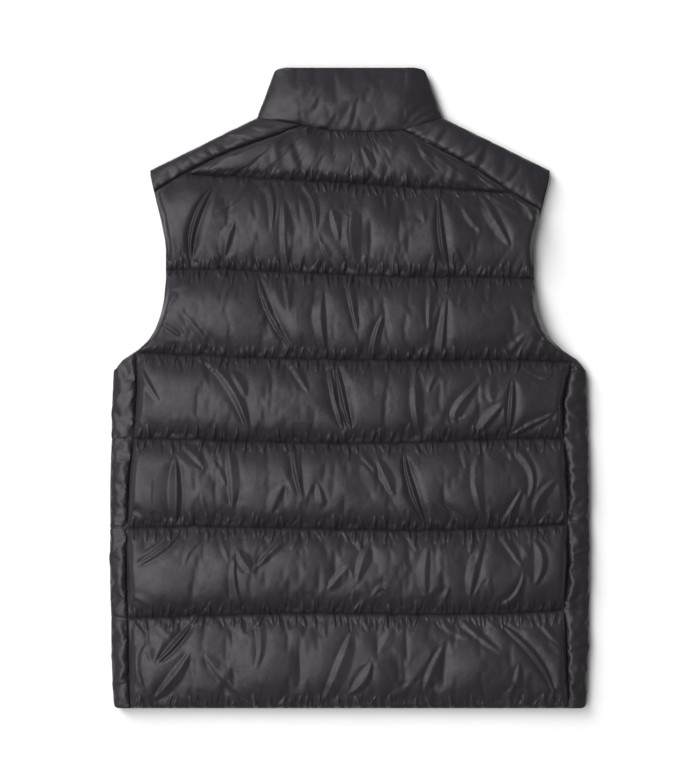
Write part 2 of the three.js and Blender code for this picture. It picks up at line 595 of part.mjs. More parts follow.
// The collar: one padded ring from the zip edge, round the folds, to the other zip edge
function collarRing() {
  const halfColumns = (side) => {
    const corner = mirrored(SHOULDER_SEAM[side][SHOULDER_SEAM[side].length - 1], side);
    const edgeEnd = FRONT_NECK.end;
    const front = ACROSS_CHANNEL.filter((across) => across >= NECK_CORNER_AT).concat(1).map((across) => {
      const share = (across - NECK_CORNER_AT) / (1 - NECK_CORNER_AT);
      return {
        bottom: shifted(quadratic(FRONT_NECK, share), share > 0 ? -COLLAR_NUDGE : 0, COLLAR_CLEARANCE),
        top: quadratic(COLLAR_FRONT_TOP, share),
        under: true,
      };
    });
    const turn = TURN.map((step, i) => {
      const target = step.on === 'under' ? edgeEnd : corner;
      const nudge = step.on === 'under' ? -COLLAR_NUDGE : 0;
      const bottom = shifted(mixPoint(NECK_POINT, target, step.share), nudge, COLLAR_CLEARANCE);
      const top = i < COLLAR_TURN_TOP.length
        ? COLLAR_TURN_TOP[i]
        : { x: mix(COLLAR_BACK_TOP_X, corner.x, (i - COLLAR_TURN_TOP.length) / COLLAR_BACK_STEPS), y: COLLAR_TOP_Y };
      if (step.innerInset === null) return { bottom, top };
      const share = step.innerInset / distance(NECK_POINT, target);
      const innerBottom = shifted(mixPoint(NECK_POINT, target, share), nudge, COLLAR_CLEARANCE);
      const innerTop = { x: COLLAR_TURN_TOP[FOLD_STEP].x - step.innerInset, y: top.y };
      return { bottom, top, step, innerBottom, innerTop };
    });
    return [...front, ...turn].map((column) => Object.fromEntries(Object.entries(column).map(
      ([key, value]) => [key, value.x === undefined ? value : mirrored(value, side)],
    )));
  };
  const neckColumns = NECK_SEAM.slice(1, -1).map((p) => ({
    bottom: shifted(p, 0, COLLAR_CLEARANCE), top: { x: p.x, y: COLLAR_TOP_Y },
  }));
  const columns = [...halfColumns('left'), ...neckColumns, ...halfColumns('right').reverse()];

  const outer = [];
  const inner = [];
  const grid = COLLAR_ROWS.map((up, r) => columns.map(({ bottom, top, step, under, innerBottom, innerTop }, c) => {
    const p = mixPoint(bottom, top, up);
    const puff = puffAtRim(up);
    const open = c === 0 || c === columns.length - 1;
    const rim = r === 0 || r === COLLAR_ROWS.length - 1;
    let outerPoint;
    let innerPoint = { ...p, z: LAYER_Z - LAYER_GAP / 2 };
    if (under) {
      outerPoint = { ...p, z: rim ? COLLAR_EDGE_LIFT : 0 };
      if (open) outerPoint.z = FRONT_EDGE_LIFT + (rim ? COLLAR_OPEN_LIFT : 0);
    } else if (step) {
      outerPoint = { ...p, z: mix(step.pinchedZ, step.z, puff) };
      innerPoint = { ...mixPoint(innerBottom, innerTop, up), z: step.innerZ - COLLAR_INNER_DROP };
    } else {
      const folds = COLLAR_FOLDS.reduce((sum, fold) => sum
        + fold.height * Math.exp(-((distance(p, fold) / fold.reach) ** 2)), 0);
      outerPoint = { ...p, z: LAYER_Z + LAYER_GAP / 2 + STITCH_WALL + COLLAR_PUFF * puff + (rim ? 0 : folds) };
      innerPoint = { ...p, z: LAYER_Z + LAYER_GAP / 2 };
    }
    outer.push(outerPoint);
    inner.push(innerPoint);
    return outer.length - 1;
  }));
  return wall(outer, inner, gridCells(grid));
}

// Hard parts of the zip
function box(xRange, yRange, zRange) {
  const geometry = new THREE.BoxGeometry(xRange[1] - xRange[0], yRange[1] - yRange[0], zRange[1] - zRange[0]);
  geometry.translate((xRange[0] + xRange[1]) / 2, (yRange[0] + yRange[1]) / 2, (zRange[0] + zRange[1]) / 2);
  return geometry;
}

function toSolid(geometry) {
  const bare = geometry.clone();
  bare.deleteAttribute('normal');
  bare.deleteAttribute('uv');
  const merged = mergeVertices(bare, 1e-4);
  return new wasm.Manifold(new wasm.Mesh({
    numProp: 3,
    vertProperties: new Float32Array(merged.attributes.position.array),
    triVerts: new Uint32Array(merged.index.array),
  }));
}

function fromSolid(solid) {
  const mesh = solid.getMesh();
  const geometry = new THREE.BufferGeometry();
  geometry.setAttribute('position', new THREE.BufferAttribute(new Float32Array(mesh.vertProperties), 3));
  geometry.setIndex([...mesh.triVerts]);
  return geometry;
}

const joined = (geometries) => fromSolid(geometries.map(toSolid).reduce((sum, solid) => sum.add(solid)));

function sliderPlate([lowZ, highZ]) {
  const { halfWide, halfNarrow, halfLong } = SLIDER;
  const shape = new THREE.Shape();
  shape.moveTo(-halfNarrow, -halfLong);
  shape.lineTo(halfNarrow, -halfLong);
  shape.lineTo(halfWide, -halfLong * 0.4);
  shape.lineTo(halfWide, halfLong * 0.7);
  shape.lineTo(halfNarrow, halfLong);
  shape.lineTo(-halfNarrow, halfLong);
  shape.lineTo(-halfWide, halfLong * 0.7);
  shape.lineTo(-halfWide, -halfLong * 0.4);
  shape.closePath();
  const plate = new THREE.ExtrudeGeometry(shape, { depth: highZ - lowZ, bevelEnabled: false });
  plate.translate(0, SLIDER_Y, lowZ);
  return plate;
}

function zipSlider() {
  const flangeY = [SLIDER_Y - SLIDER.halfLong * 0.4, SLIDER_Y + SLIDER.halfLong * 0.6];
  const flanges = [-1, 1].flatMap((sign) => {
    const xRange = [FLANGE.inX * sign, FLANGE.outX * sign].sort((a, b) => a - b);
    return [box(xRange, flangeY, FLANGE.lowZ), box(xRange, flangeY, FLANGE.highZ)];
  });
  const post = box([-POST.halfX, POST.halfX], [SLIDER_Y + POST.low, SLIDER_Y + POST.high],
    [SLIDER.outerZ[1] - 0.1, SLIDER.innerZ[0] + 0.1]);
  const bailX = [-BAIL.halfX, BAIL.halfX];
  const legs = [-1, 1].map((sign) => {
    const yRange = [PIVOT.y + sign * BAIL.legIn, PIVOT.y + sign * BAIL.legOut].sort((a, b) => a - b);
    return box(bailX, yRange, [BAIL.bridgeZ[0], BAIL.topZ]);
  });
  const bridge = box(bailX, [PIVOT.y - BAIL.legOut, PIVOT.y + BAIL.legOut], BAIL.bridgeZ);
  return joined([sliderPlate(SLIDER.outerZ), sliderPlate(SLIDER.innerZ), ...flanges, post, ...legs, bridge]);
}

function zipPull() {
  const { halfX, armIn, bar, windowEnd, length, halfThick, round } = PULL;
  const shape = new THREE.Shape();
  shape.moveTo(-halfX, bar);
  shape.lineTo(-halfX, -(length - round));
  shape.quadraticCurveTo(-halfX, -length, -(halfX - round), -length);
  shape.lineTo(halfX - round, -length);
  shape.quadraticCurveTo(halfX, -length, halfX, -(length - round));
  shape.lineTo(halfX, bar);
  shape.closePath();
  const gap = new THREE.Path();
  gap.moveTo(-armIn, -bar);
  gap.lineTo(armIn, -bar);
  gap.lineTo(armIn, -windowEnd);
  gap.lineTo(-armIn, -windowEnd);
  gap.closePath();
  shape.holes.push(gap);
  const tab = new THREE.ExtrudeGeometry(shape, { depth: halfThick * 2, bevelEnabled: false, curveSegments: 4 });
  tab.translate(0, PIVOT.y, PIVOT.z - halfThick);
  return fromSolid(toSolid(tab));
}

function named(name, geometry, material) {
  const mesh = new THREE.Mesh(geometry, material);
  mesh.name = name;
  return mesh;
}

const vest = new THREE.Group();
vest.add(named('back_panel', backPanel(), NYLON));
vest.add(named('front_left', frontPanel('left'), NYLON));
vest.add(named('front_right', frontPanel('right'), NYLON));
vest.add(named('collar', collarRing(), NYLON));
vest.add(named('zip_tape_left', box([-TAPE_OUT_X, -TAPE_IN_X], [ZIP_BOTTOM_Y, TAPE_TOP_Y], TAPE_Z), TAPE));
vest.add(named('zip_tape_right', box([TAPE_IN_X, TAPE_OUT_X], [ZIP_BOTTOM_Y, TAPE_TOP_Y], TAPE_Z), TAPE));
vest.add(named('zip_chain', box([-CHAIN_HALF, CHAIN_HALF], [ZIP_BOTTOM_Y, SLIDER_Y + POST.low - 0.4], CHAIN_Z), COIL));
vest.add(named('zip_slider', zipSlider(), METAL));
vest.add(named('zip_pull', zipPull(), METAL));
vest.add(named('zip_box', box([-ZIP_BOX.halfX, ZIP_BOX.halfX], ZIP_BOX.y, ZIP_BOX.z), COIL));

export default vest;
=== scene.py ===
import bpy
import numpy as np
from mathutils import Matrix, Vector


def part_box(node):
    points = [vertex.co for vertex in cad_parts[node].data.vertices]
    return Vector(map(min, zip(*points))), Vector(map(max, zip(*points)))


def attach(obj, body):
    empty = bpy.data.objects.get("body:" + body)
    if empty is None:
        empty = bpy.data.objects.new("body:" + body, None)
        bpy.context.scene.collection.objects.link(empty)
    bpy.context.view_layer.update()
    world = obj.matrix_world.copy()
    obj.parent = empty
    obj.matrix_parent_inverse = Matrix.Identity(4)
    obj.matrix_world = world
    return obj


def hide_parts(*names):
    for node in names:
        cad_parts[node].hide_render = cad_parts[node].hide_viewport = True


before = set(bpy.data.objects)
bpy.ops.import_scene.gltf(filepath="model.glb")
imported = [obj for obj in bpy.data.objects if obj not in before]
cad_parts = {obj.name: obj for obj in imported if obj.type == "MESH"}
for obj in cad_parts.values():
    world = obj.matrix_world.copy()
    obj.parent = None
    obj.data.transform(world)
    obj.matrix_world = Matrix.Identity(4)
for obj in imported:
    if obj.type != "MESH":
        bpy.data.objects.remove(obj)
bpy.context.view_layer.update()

MM = 0.001
BODY = "vest"
SIGN = {"left": -1, "right": 1}
SEEDS = {"rows": 3, "back": 11, "front": 23, "collar": 5}


def cad_range(node, axis):
    low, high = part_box(node)
    return low[axis] / MM, high[axis] / MM


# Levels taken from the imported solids
LAYER_Z = 10
INNER_Z = cad_range("back_panel", 2)[0]
HEM_Y = cad_range("back_panel", 1)[0]
COLLAR_TOP_Y = cad_range("collar", 1)[1]
SIDE_FOLD_X = cad_range("front_right", 0)[1]
FRONT_TOP_Z = 2 * LAYER_Z - INNER_Z
ZIP_EDGE_X = cad_range("front_right", 0)[0]

# Outlines, for the right half or for each side
ARMHOLE = [
    (260, 32), (242.5, 43.5), (230, 55), (223, 66.4), (218.5, 77.8), (215, 89), (212.8, 100.7),
    (210.5, 123.6), (210.5, 158), (211.6, 169.3), (213.9, 180.7), (216.2, 192.2), (218.5, 201.3),
    (221.9, 215), (225.4, 228.8), (228.4, 243),
]
SIDE_FOLD_TOP = (269, 21)
SHOULDER_TIP = (228.8, 249)
NECK_POINT = (106.4, 309)
SIDE_SEAM = {
    "left": [
        (-251.2, -366), (-252.6, -326), (-253.2, -283), (-254.5, -240), (-255.1, -184), (-253.2, -142),
        (-251.7, -99), (-247.4, -65), (-245.3, -34), (-243.2, 0), (-244.4, 40.6),
    ],
    "right": [
        (249.7, -366), (247.8, -311.5), (244.9, -252), (249, -198), (248.8, -158.6), (249, -121.7),
        (247.1, -84), (243.4, -50), (243.3, -15), (248, 8), (252.8, 29.7),
    ],
}
SHOULDER_SEAM = {
    "left": [
        (-223.3, 224.2), (-192.7, 242.9), (-159.7, 260), (-129.8, 273), (-85, 288.4), (-65.6, 296),
        (-55, 300.4),
    ],
    "right": [(216.9, 203.3), (179.5, 226), (149.5, 246.3), (119.7, 263.8), (89.7, 279.5), (61.3, 294.5)],
}
NECK_SEAM = [(-55, 300.4), (-40, 297.4), (-25, 295.2), (0, 293.8), (30, 293.5), (61.3, 294.5)]
FRONT_NECK = [(ZIP_EDGE_X, 258), (72, 258), (102.3, 303.2)]
COLLAR_FRONT_TOP = [(ZIP_EDGE_X, 338), (52, 338), (79, 358.5)]
COLLAR_TURN_TOP = [(83, 360.2), (86.6, 360.8), (87.7, 358.6), (86.2, 361.6), (82.6, 364.2)]
COLLAR_BACK_TOP = [(74, 366), (70, 366), (65, 366), (63, 366)]

# Rows of stitching from the hem up: y at five places from the left end to the right end
STITCH_ROWS = [
    (-366, -366, -366, -366, -366), (-263, -259, -258, -259, -253), (-160.5, -159, -162, -162, -155),
    (-58, -61, -63.5, -60.5, -58), (40.6, 35, 32, 32, 29.7), (135, 134, 129, 127, 125),
    (243, 237.5, 232, 226.5, 221),
]
ROW_END_X = {"left": -188.8, "right": 184.1}
FRONT_ROW1_Y = 229
ROW_WANDER = 0.6
WANDER_KNOTS = 60
WANDER_FADE = 10

# Channels from the hem up: how far the padding rises over the stitching, and its mean length
CROWNS = [13, 16, 16.5, 17, 17.5, 16.5, 12]
CHANNEL_LENGTHS = [106, 99, 99, 95, 97, 103, 64]
FIRST_ARMHOLE_CHANNEL = 4
TOP_SIDE_CHANNEL = FIRST_ARMHOLE_CHANNEL - 1
SEAM_CHANNEL = 5
NECK_CHANNEL = 6
SEAM_CORNER_AT = 0.75
NECK_CORNER_AT = 0.25
SEAM_END_GAP = 4
SHOULDER_STEPS = 400
BACK_PIECES = {"back_hem": 0, "back_waist": 2, "back_chest": 4, "back_yoke": 6}

# Heights of the back. A channel that is shorter than FULL_CHANNEL rises less.
THREAD_Z = INNER_Z + 1.9
BORDER_Z = INNER_Z + 2.1
CROWN_POWER = 0.62
NECK_CROWN_POWER = 0.4
SHOULDER_CROWN_POWER = 0.4
EDGE_ROUND = 10
FULL_CHANNEL = 50
UNBLOWN_SHARE = 0.85
LEAST_SHARE = 0.18

# Broad random bumps of the loose cloth: height, and size in x and y
BUMPS = {
    "back": (0.6, 40, 44), "front": (0.3, 20, 14), "strip": (0.3, 6, 12), "shoulder": (0.1, 14, 8),
    "collar": (0.3, 18, 12), "collar_broad": (0.4, 40, 26),
}

# The floor of the stitched valleys: steep beside the thread, then a slow belly
VALLEY_RISE = 2
VALLEY_REACH = 2.5
VALLEY_BELLY = 3
VALLEY_WIDTH = 15

# Heights of the fronts' flat part over the surface that it rests on
FRONT_GROOVE = {"height": 3.4, "width": 6, "at_thread": 2.6, "sunk": 0.6, "most": 6}
FRONT_EDGE_HEIGHT = 1.8
FRONT_ARMHOLE_HEIGHT = 3

# The grids: the cloth's own cells, and how many finer cells stand for each of them
CELL_ALONG = 2.25
CELL_UP = 3.4
FINER = 2
FRONT_COLUMNS = 34
BACK_SMOOTHINGS = 1
FRONT_SMOOTHINGS = 2

# How each sheet is blown up: slack in its weave, frames and pressure
CLOTHS = {
    "back": (0.007, 18, 4.0), "front": (0.03, 12, 4.0), "strip": (0.02, 10, 2.0),
    "shoulder": (0.008, 8, 1.2), "collar": (0.005, 12, 1.6),
}
CLOTH_SETTINGS = {
    "pin_stiffness": 1, "quality": 5, "mass": 0.1, "tension_stiffness": 15, "compression_stiffness": 15,
    "shear_stiffness": 5, "bending_stiffness": 0.05, "tension_damping": 5, "compression_damping": 5,
    "shear_damping": 5, "bending_damping": 0.5, "air_damping": 1, "use_pressure": True,
}

# Puckers that start at a row of stitching: spacing, and ranges of length, depth and half width
PUCKERS = {
    "back_broad": (28, (10, 26), (0.6, 2), (4, 7)),
    "back_dents": (9, (7, 20), (1.4, 3.6), (1.8, 3.6)),
    "back_ridges": (9, (8, 18), (2.4, 5), (1.8, 3.6)),
    "front": (14, (10, 30), (0.36, 1.2), (2.5, 5)),
    "strip": (11, (7, 22), (0.8, 2.2), (1.8, 3.6)),
    "shoulder_seam": (8, (6, 20), (0.3, 1.6), (1.6, 2.8)),
    "shoulder_fold": (11, (6, 20), (0.3, 1.6), (1.6, 2.8)),
}
PUCKER = {"lean": 0.25, "gaps": (0.45, 1.6), "tip": 0.4, "narrowing": 0.6, "sinking": 0.7}

# Looks of the folds: a sharp crest whose two flanks fall to the floor of a broad hollow.
# A lens closes at both ends, and the others at the end away from the thread alone.
FOLD_LOOKS = {
    "spindle": {"height": 3.2, "flanks": (5.5, 9), "lens": True},
    "slit": {"height": 4.2, "flanks": (3, 4.4), "lens": True},
    "soft": {"height": 1.7, "flanks": (6, 12), "lens": True},
    "cone": {"height": 2.8, "flanks": (4.8, 8), "lens": False},
}
STRENGTHS = [1, 0.6, 0.85, 0.5, 0.75]
FULL_FOLD = 55
FOLD_SIZES = (0.6, 1.1)
FOLD_POINTS = 15
FOLD_REACH = 26
FRONT_FOLD_SHARE = 0.5
WRAP_FOLD_SHARE = 0.8
WITHIN_LENS = (0.03, 0.97)
LENS_POWER = 0.8
CONE_POWER = 0.6
END_FLANK = 0.25
CREST_ROUND = 0.12
HOLLOW_SHARE = 0.85
HOLLOW_WIDTH = 2

# The back's folds, as read: three points along each and its look
BACK_FOLDS = [
    # neck
    (-70, 287, -63, 257, -48, 239, "soft"), (-103, 269, -94, 251, -84, 241, "cone"),
    (-86, 281, -86, 270, -85, 257, "cone"), (60, 293, 46, 267, 34, 236, "soft"),
    (117, 262, 115, 245, 109, 232, "cone"), (80, 278, 82, 271, 86, 265, "cone"),
    (95, 276, 100, 269, 105, 262, "cone"), (13, 275, 18, 265, 22, 256, "cone"),
    (105, 241, 98, 236, 92, 230, "cone"), (155, 239, 151, 233, 147, 227, "cone"),
    # shoulder
    (-158, 226, -177, 186, -181, 150, "slit"), (-116, 236, -135, 212, -158, 199, "cone"),
    (-97, 233, -88, 214, -89, 180, "cone"), (-76, 213, -74, 172, -74, 136, "spindle"),
    (-54, 232, -42, 211, -39, 180, "cone"), (-131, 187, -139, 169, -143, 150, "spindle"),
    (-36, 173, -25, 150, -13, 132, "cone"), (-21, 202, -16, 185, -13, 169, "spindle"),
    (-1, 199, -3, 175, 3, 146, "spindle"), (11, 224, 0, 181, 8, 136, "soft"),
    (40, 225, 41, 214, 42, 201, "cone"), (80, 221, 82, 206, 85, 190, "spindle"),
    (101, 216, 104, 169, 112, 136, "slit"), (120, 221, 120, 210, 120, 199, "cone"),
    (152, 219, 163, 195, 181, 164, "spindle"), (129, 205, 137, 192, 147, 179, "spindle"),
    (166, 215, 180, 207, 193, 199, "spindle"), (200, 207, 207, 197, 215, 187, "cone"),
    (17, 152, 16, 142, 16, 130, "cone"), (95, 153, 94, 142, 92, 130, "cone"),
    (120, 158, 126, 145, 132, 132, "cone"),
    # chest
    (-105, 126, -92, 87, -68, 45, "slit"), (-217, 76, -204, 67, -190, 57, "slit"),
    (-192, 90, -173, 66, -155, 42, "cone"), (-134, 128, -140, 113, -146, 98, "cone"),
    (-73, 122, -71, 104, -70, 87, "cone"), (-31, 110, -33, 78, -27, 39, "spindle"),
    (-3, 128, 2, 97, 8, 65, "cone"), (-185, 129, -192, 116, -208, 113, "cone"),
    (-199, 104, -206, 95, -214, 84, "cone"), (38, 82, 30, 63, 25, 36, "cone"),
    (93, 119, 90, 93, 89, 66, "cone"), (110, 102, 106, 70, 104, 36, "cone"),
    (131, 119, 127, 105, 123, 92, "cone"), (157, 117, 157, 108, 157, 97, "cone"),
    (199, 61, 188, 48, 177, 36, "cone"), (208, 58, 204, 47, 199, 36, "cone"),
    (223, 61, 220, 53, 218, 44, "cone"), (93, 51, 88, 42, 84, 34, "cone"),
    # middle
    (-169, 32, -137, 3, -116, -48, "spindle"), (-135, 19, -127, 6, -119, -9, "spindle"),
    (-24, 26, -17, -12, -8, -46, "slit"), (-15, 26, -8, -13, 1, -46, "slit"),
    (-245, -30, -236, -42, -225, -55, "cone"), (-243, 26, -230, 6, -216, -16, "cone"),
    (-66, 28, -57, 11, -47, -5, "cone"), (74, 21, 74, -16, 79, -54, "spindle"),
    (97, 17, 93, 7, 89, -4, "cone"), (163, 19, 158, -1, 163, -17, "spindle"),
    (185, 8, 183, -21, 181, -50, "slit"), (172, -20, 159, -35, 147, -50, "spindle"),
    (197, 23, 224, 12, 229, 28, "slit"), (241, -22, 238, -29, 235, -36, "cone"),
    (229, -31, 205, -43, 181, -56, "slit"), (145, 5, 122, -22, 120, -38, "spindle"),
    (69, -40, 66, -49, 65, -59, "cone"), (39, -43, 37, -51, 35, -59, "cone"),
    # waist
    (-192, -63, -169, -86, -170, -94, "cone"), (-139, -64, -135, -100, -134, -135, "spindle"),
    (-154, -84, -148, -97, -140, -110, "spindle"), (-64, -66, -61, -96, -54, -127, "cone"),
    (-89, -142, -84, -126, -73, -109, "spindle"), (-38, -107, -34, -118, -31, -130, "cone"),
    (-252, -140, -246, -145, -241, -151, "cone"), (-232, -146, -223, -151, -214, -156, "cone"),
    (-198, -82, -197, -119, -199, -156, "spindle"), (-169, -117, -162, -149, -148, -154, "cone"),
    (8, -66, 17, -81, 32, -98, "cone"), (14, -84, 32, -112, 60, -157, "soft"),
    (32, -81, 40, -102, 49, -121, "spindle"), (62, -77, 70, -114, 85, -152, "slit"),
    (76, -72, 77, -80, 78, -88, "cone"), (130, -70, 130, -80, 131, -91, "cone"),
    (149, -70, 142, -103, 151, -146, "spindle"), (194, -73, 208, -100, 202, -127, "cone"),
    (195, -116, 185, -136, 174, -157, "cone"), (233, -105, 215, -125, 210, -146, "spindle"),
    (176, -65, 181, -73, 186, -82, "cone"), (160, -136, 157, -144, 154, -153, "cone"),
    (67, -137, 67, -148, 69, -157, "cone"), (97, -129, 114, -143, 130, -157, "cone"),
    # lower
    (-193, -162, -212, -182, -243, -202, "slit"), (-206, -165, -221, -180, -238, -190, "cone"),
    (-163, -167, -180, -182, -188, -202, "cone"), (-147, -167, -143, -183, -138, -197, "cone"),
    (-127, -186, -121, -197, -113, -208, "spindle"), (-131, -194, -131, -222, -124, -252, "cone"),
    (-70, -167, -92, -188, -111, -208, "cone"), (-97, -165, -94, -170, -90, -175, "cone"),
    (-56, -167, -62, -175, -67, -183, "cone"), (-3, -204, -14, -216, -24, -228, "spindle"),
    (-56, -231, -54, -240, -48, -249, "cone"), (-177, -245, -178, -251, -180, -256, "cone"),
    (-254, -235, -241, -240, -231, -247, "cone"), (21, -178, 14, -196, 8, -220, "spindle"),
    (7, -165, 10, -175, 14, -185, "cone"), (39, -167, 37, -174, 35, -181, "cone"),
    (67, -165, 71, -175, 76, -186, "cone"), (89, -183, 85, -210, 87, -235, "spindle"),
    (105, -165, 103, -175, 101, -185, "cone"), (138, -165, 137, -176, 137, -188, "cone"),
    (153, -172, 142, -204, 137, -236, "spindle"), (174, -169, 184, -186, 195, -202, "cone"),
    (186, -165, 196, -181, 204, -194, "cone"), (211, -174, 219, -197, 211, -222, "spindle"),
    (197, -210, 190, -233, 176, -247, "cone"), (158, -217, 154, -231, 151, -245, "spindle"),
    (113, -226, 109, -237, 105, -247, "cone"), (5, -228, 3, -240, 3, -252, "cone"),
    (26, -238, 40, -228, 59, -252, "cone"),
    # hem
    (-177, -264, -198, -291, -218, -311, "slit"), (-218, -268, -211, -279, -200, -284, "cone"),
    (-229, -300, -228, -305, -225, -311, "cone"), (-234, -291, -243, -312, -234, -344, "spindle"),
    (-184, -303, -201, -329, -222, -353, "spindle"), (-163, -305, -142, -332, -109, -362, "soft"),
    (-125, -264, -120, -280, -111, -275, "cone"), (-72, -259, -72, -267, -72, -275, "cone"),
    (-106, -266, -102, -294, -108, -319, "cone"), (-29, -264, -29, -275, -28, -284, "cone"),
    (1, -280, -13, -318, -31, -359, "soft"), (-179, -344, -177, -350, -175, -355, "cone"),
    (24, -314, 16, -334, 1, -348, "spindle"), (48, -271, 41, -286, 33, -300, "spindle"),
    (19, -262, 19, -270, 21, -277, "cone"), (60, -262, 56, -267, 53, -271, "cone"),
    (105, -266, 120, -280, 140, -284, "cone"), (130, -268, 149, -285, 170, -300, "cone"),
    (153, -259, 160, -267, 169, -275, "cone"), (169, -268, 208, -303, 231, -343, "slit"),
    (231, -343, 230, -353, 226, -362, "slit"), (197, -262, 204, -267, 211, -271, "cone"),
    (215, -264, 229, -282, 243, -295, "cone"), (231, -291, 238, -299, 245, -307, "cone"),
    (94, -300, 80, -320, 71, -334, "soft"), (105, -296, 94, -319, 85, -343, "soft"),
    (69, -336, 54, -349, 39, -362, "soft"), (188, -337, 183, -348, 178, -359, "cone"),
    (222, -348, 216, -357, 210, -366, "cone"), (192, -314, 191, -324, 190, -334, "cone"),
]


# Small helpers
def mix(a, b, t):
    return a + (b - a) * t


def curve_at(points, share):
    """Points at shares of the length of a polyline."""
    points = np.asarray(points, float)
    reach = np.concatenate(([0], np.cumsum(np.hypot(*np.diff(points, axis=0).T))))
    at = np.clip(share, 0, 1) * reach[-1]
    return np.stack([np.interp(at, reach, points[:, 0]), np.interp(at, reach, points[:, 1])], -1)


def bend_at(points, t):
    """Points on the quadratic curve with this start, pull and end."""
    start, pull, end = np.asarray(points, float)
    t = np.asarray(t, float)[..., None]
    return (1 - t) ** 2 * start + 2 * t * (1 - t) * pull + t**2 * end


def resample(values, count, axis=0):
    """Cubic resampling along one axis, through the old values."""
    old = np.moveaxis(values, axis, 0)
    last = len(old) - 1
    at = np.linspace(0, last, count)
    i = np.minimum(at.astype(int), last - 1)
    t = (at - i).reshape((-1,) + (1,) * (old.ndim - 1))
    before, a, b, after = old[np.maximum(i - 1, 0)], old[i], old[i + 1], old[np.minimum(i + 2, last)]
    bend = 2 * before - 5 * a + 4 * b - after
    cubic = a + 0.5 * t * (b - before + t * (bend + t * (3 * (a - b) + after - before)))
    return np.moveaxis(cubic, 0, axis)


def bumps(rng, points, kind):
    """Smooth random bumps over a grid of points."""
    height, size_x, size_y = BUMPS[kind]
    low = points.reshape(-1, 2).min(0)
    at = (points - low) / (size_x, size_y) + 1
    cells = np.ceil(at.reshape(-1, 2).max(0)).astype(int) + 2
    lattice = rng.standard_normal(tuple(cells))
    i = at.astype(int)
    t = at - i
    t = t * t * (3 - 2 * t)
    x, y = i[..., 0], i[..., 1]
    low_row = mix(lattice[x, y], lattice[x + 1, y], t[..., 0])
    high_row = mix(lattice[x, y + 1], lattice[x + 1, y + 1], t[..., 0])
    rough = mix(low_row, high_row, t[..., 1])
    return height * (rough - rough.mean()) / rough.std()


def raised(flat, height):
    return np.concatenate([flat, height[..., None]], -1)


def grid_ids(shape, first=0):
    return first + np.arange(shape[0] * shape[1]).reshape(shape)


def grid_faces(ids):
    return np.stack([ids[:-1, :-1], ids[:-1, 1:], ids[1:, 1:], ids[1:, :-1]], -1).reshape(-1, 4)


def grid_normals(grid):
    """Unit normals of a grid of points; they point up where columns run to +X and rows to +Y."""
    normal = np.cross(np.gradient(grid, axis=1), np.gradient(grid, axis=0))
    return normal / np.maximum(np.linalg.norm(normal, axis=-1, keepdims=True), 1e-9)


def border_edges(faces):
    """Edges with one face, in the turn of that face."""
    edges = np.concatenate([faces[:, [i, (i + 1) % 4]] for i in range(4)])
    seen = {}
    for a, b in edges.tolist():
        if (b, a) in seen:
            del seen[(b, a)]
        else:
            seen[(a, b)] = True
    return list(seen)


def border_loop(faces):
    """The border's points in order, for a sheet with one border."""
    after = dict(border_edges(faces))
    loop = [next(iter(after))]
    while after[loop[-1]] != loop[0]:
        loop.append(after[loop[-1]])
    return loop


def add_object(name, points, polygons):
    mesh = bpy.data.meshes.new(name)
    mesh.from_pydata((np.asarray(points) * MM).tolist(), [], polygons)
    mesh.update()
    obj = bpy.data.objects.new(name, mesh)
    bpy.context.scene.collection.objects.link(obj)
    return obj


def closed_piece(name, outer, inner, faces, capped=None):
    """A wall between an outer and an inner sheet. The faces in capped get one flat inner face."""
    count = len(outer)
    polygons = faces.tolist()
    backed = faces if capped is None else faces[~capped]
    polygons += [[f[0] + count, f[3] + count, f[2] + count, f[1] + count] for f in backed.tolist()]
    if capped is not None:
        polygons.append([i + count for i in reversed(border_loop(faces[capped]))])
    polygons += [[b, a, a + count, b + count] for a, b in border_edges(faces)]
    points = np.concatenate([outer, inner])
    used = np.zeros(len(points), bool)
    for polygon in polygons:
        used[polygon] = True
    new_id = (np.cumsum(used) - 1).tolist()
    return add_object(name, points[used], [[new_id[i] for i in polygon] for polygon in polygons])


def shade(obj, angle=50):
    obj.data.polygons.foreach_set("use_smooth", np.ones(len(obj.data.polygons), bool))
    obj.data.set_sharp_from_angle(angle=np.radians(angle))


def sharpen(obj, points):
    """Sharp edges between these points, as where thread pulls the cloth into a groove."""
    ends = np.empty(2 * len(obj.data.edges), int)
    obj.data.edges.foreach_get("vertices", ends)
    grooved = np.isin(ends.reshape(-1, 2), points).all(1)
    obj.data.edges.foreach_set("use_edge_sharp", grooved)


# Cloth
def held_grid(shape, stitched=None):
    """Which points of a grid are held in place: its border, and the stitched rows."""
    held = np.zeros(shape, bool)
    if stitched is not None:
        held[stitched] = True
    held[0] = held[-1] = held[:, 0] = held[:, -1] = True
    return held


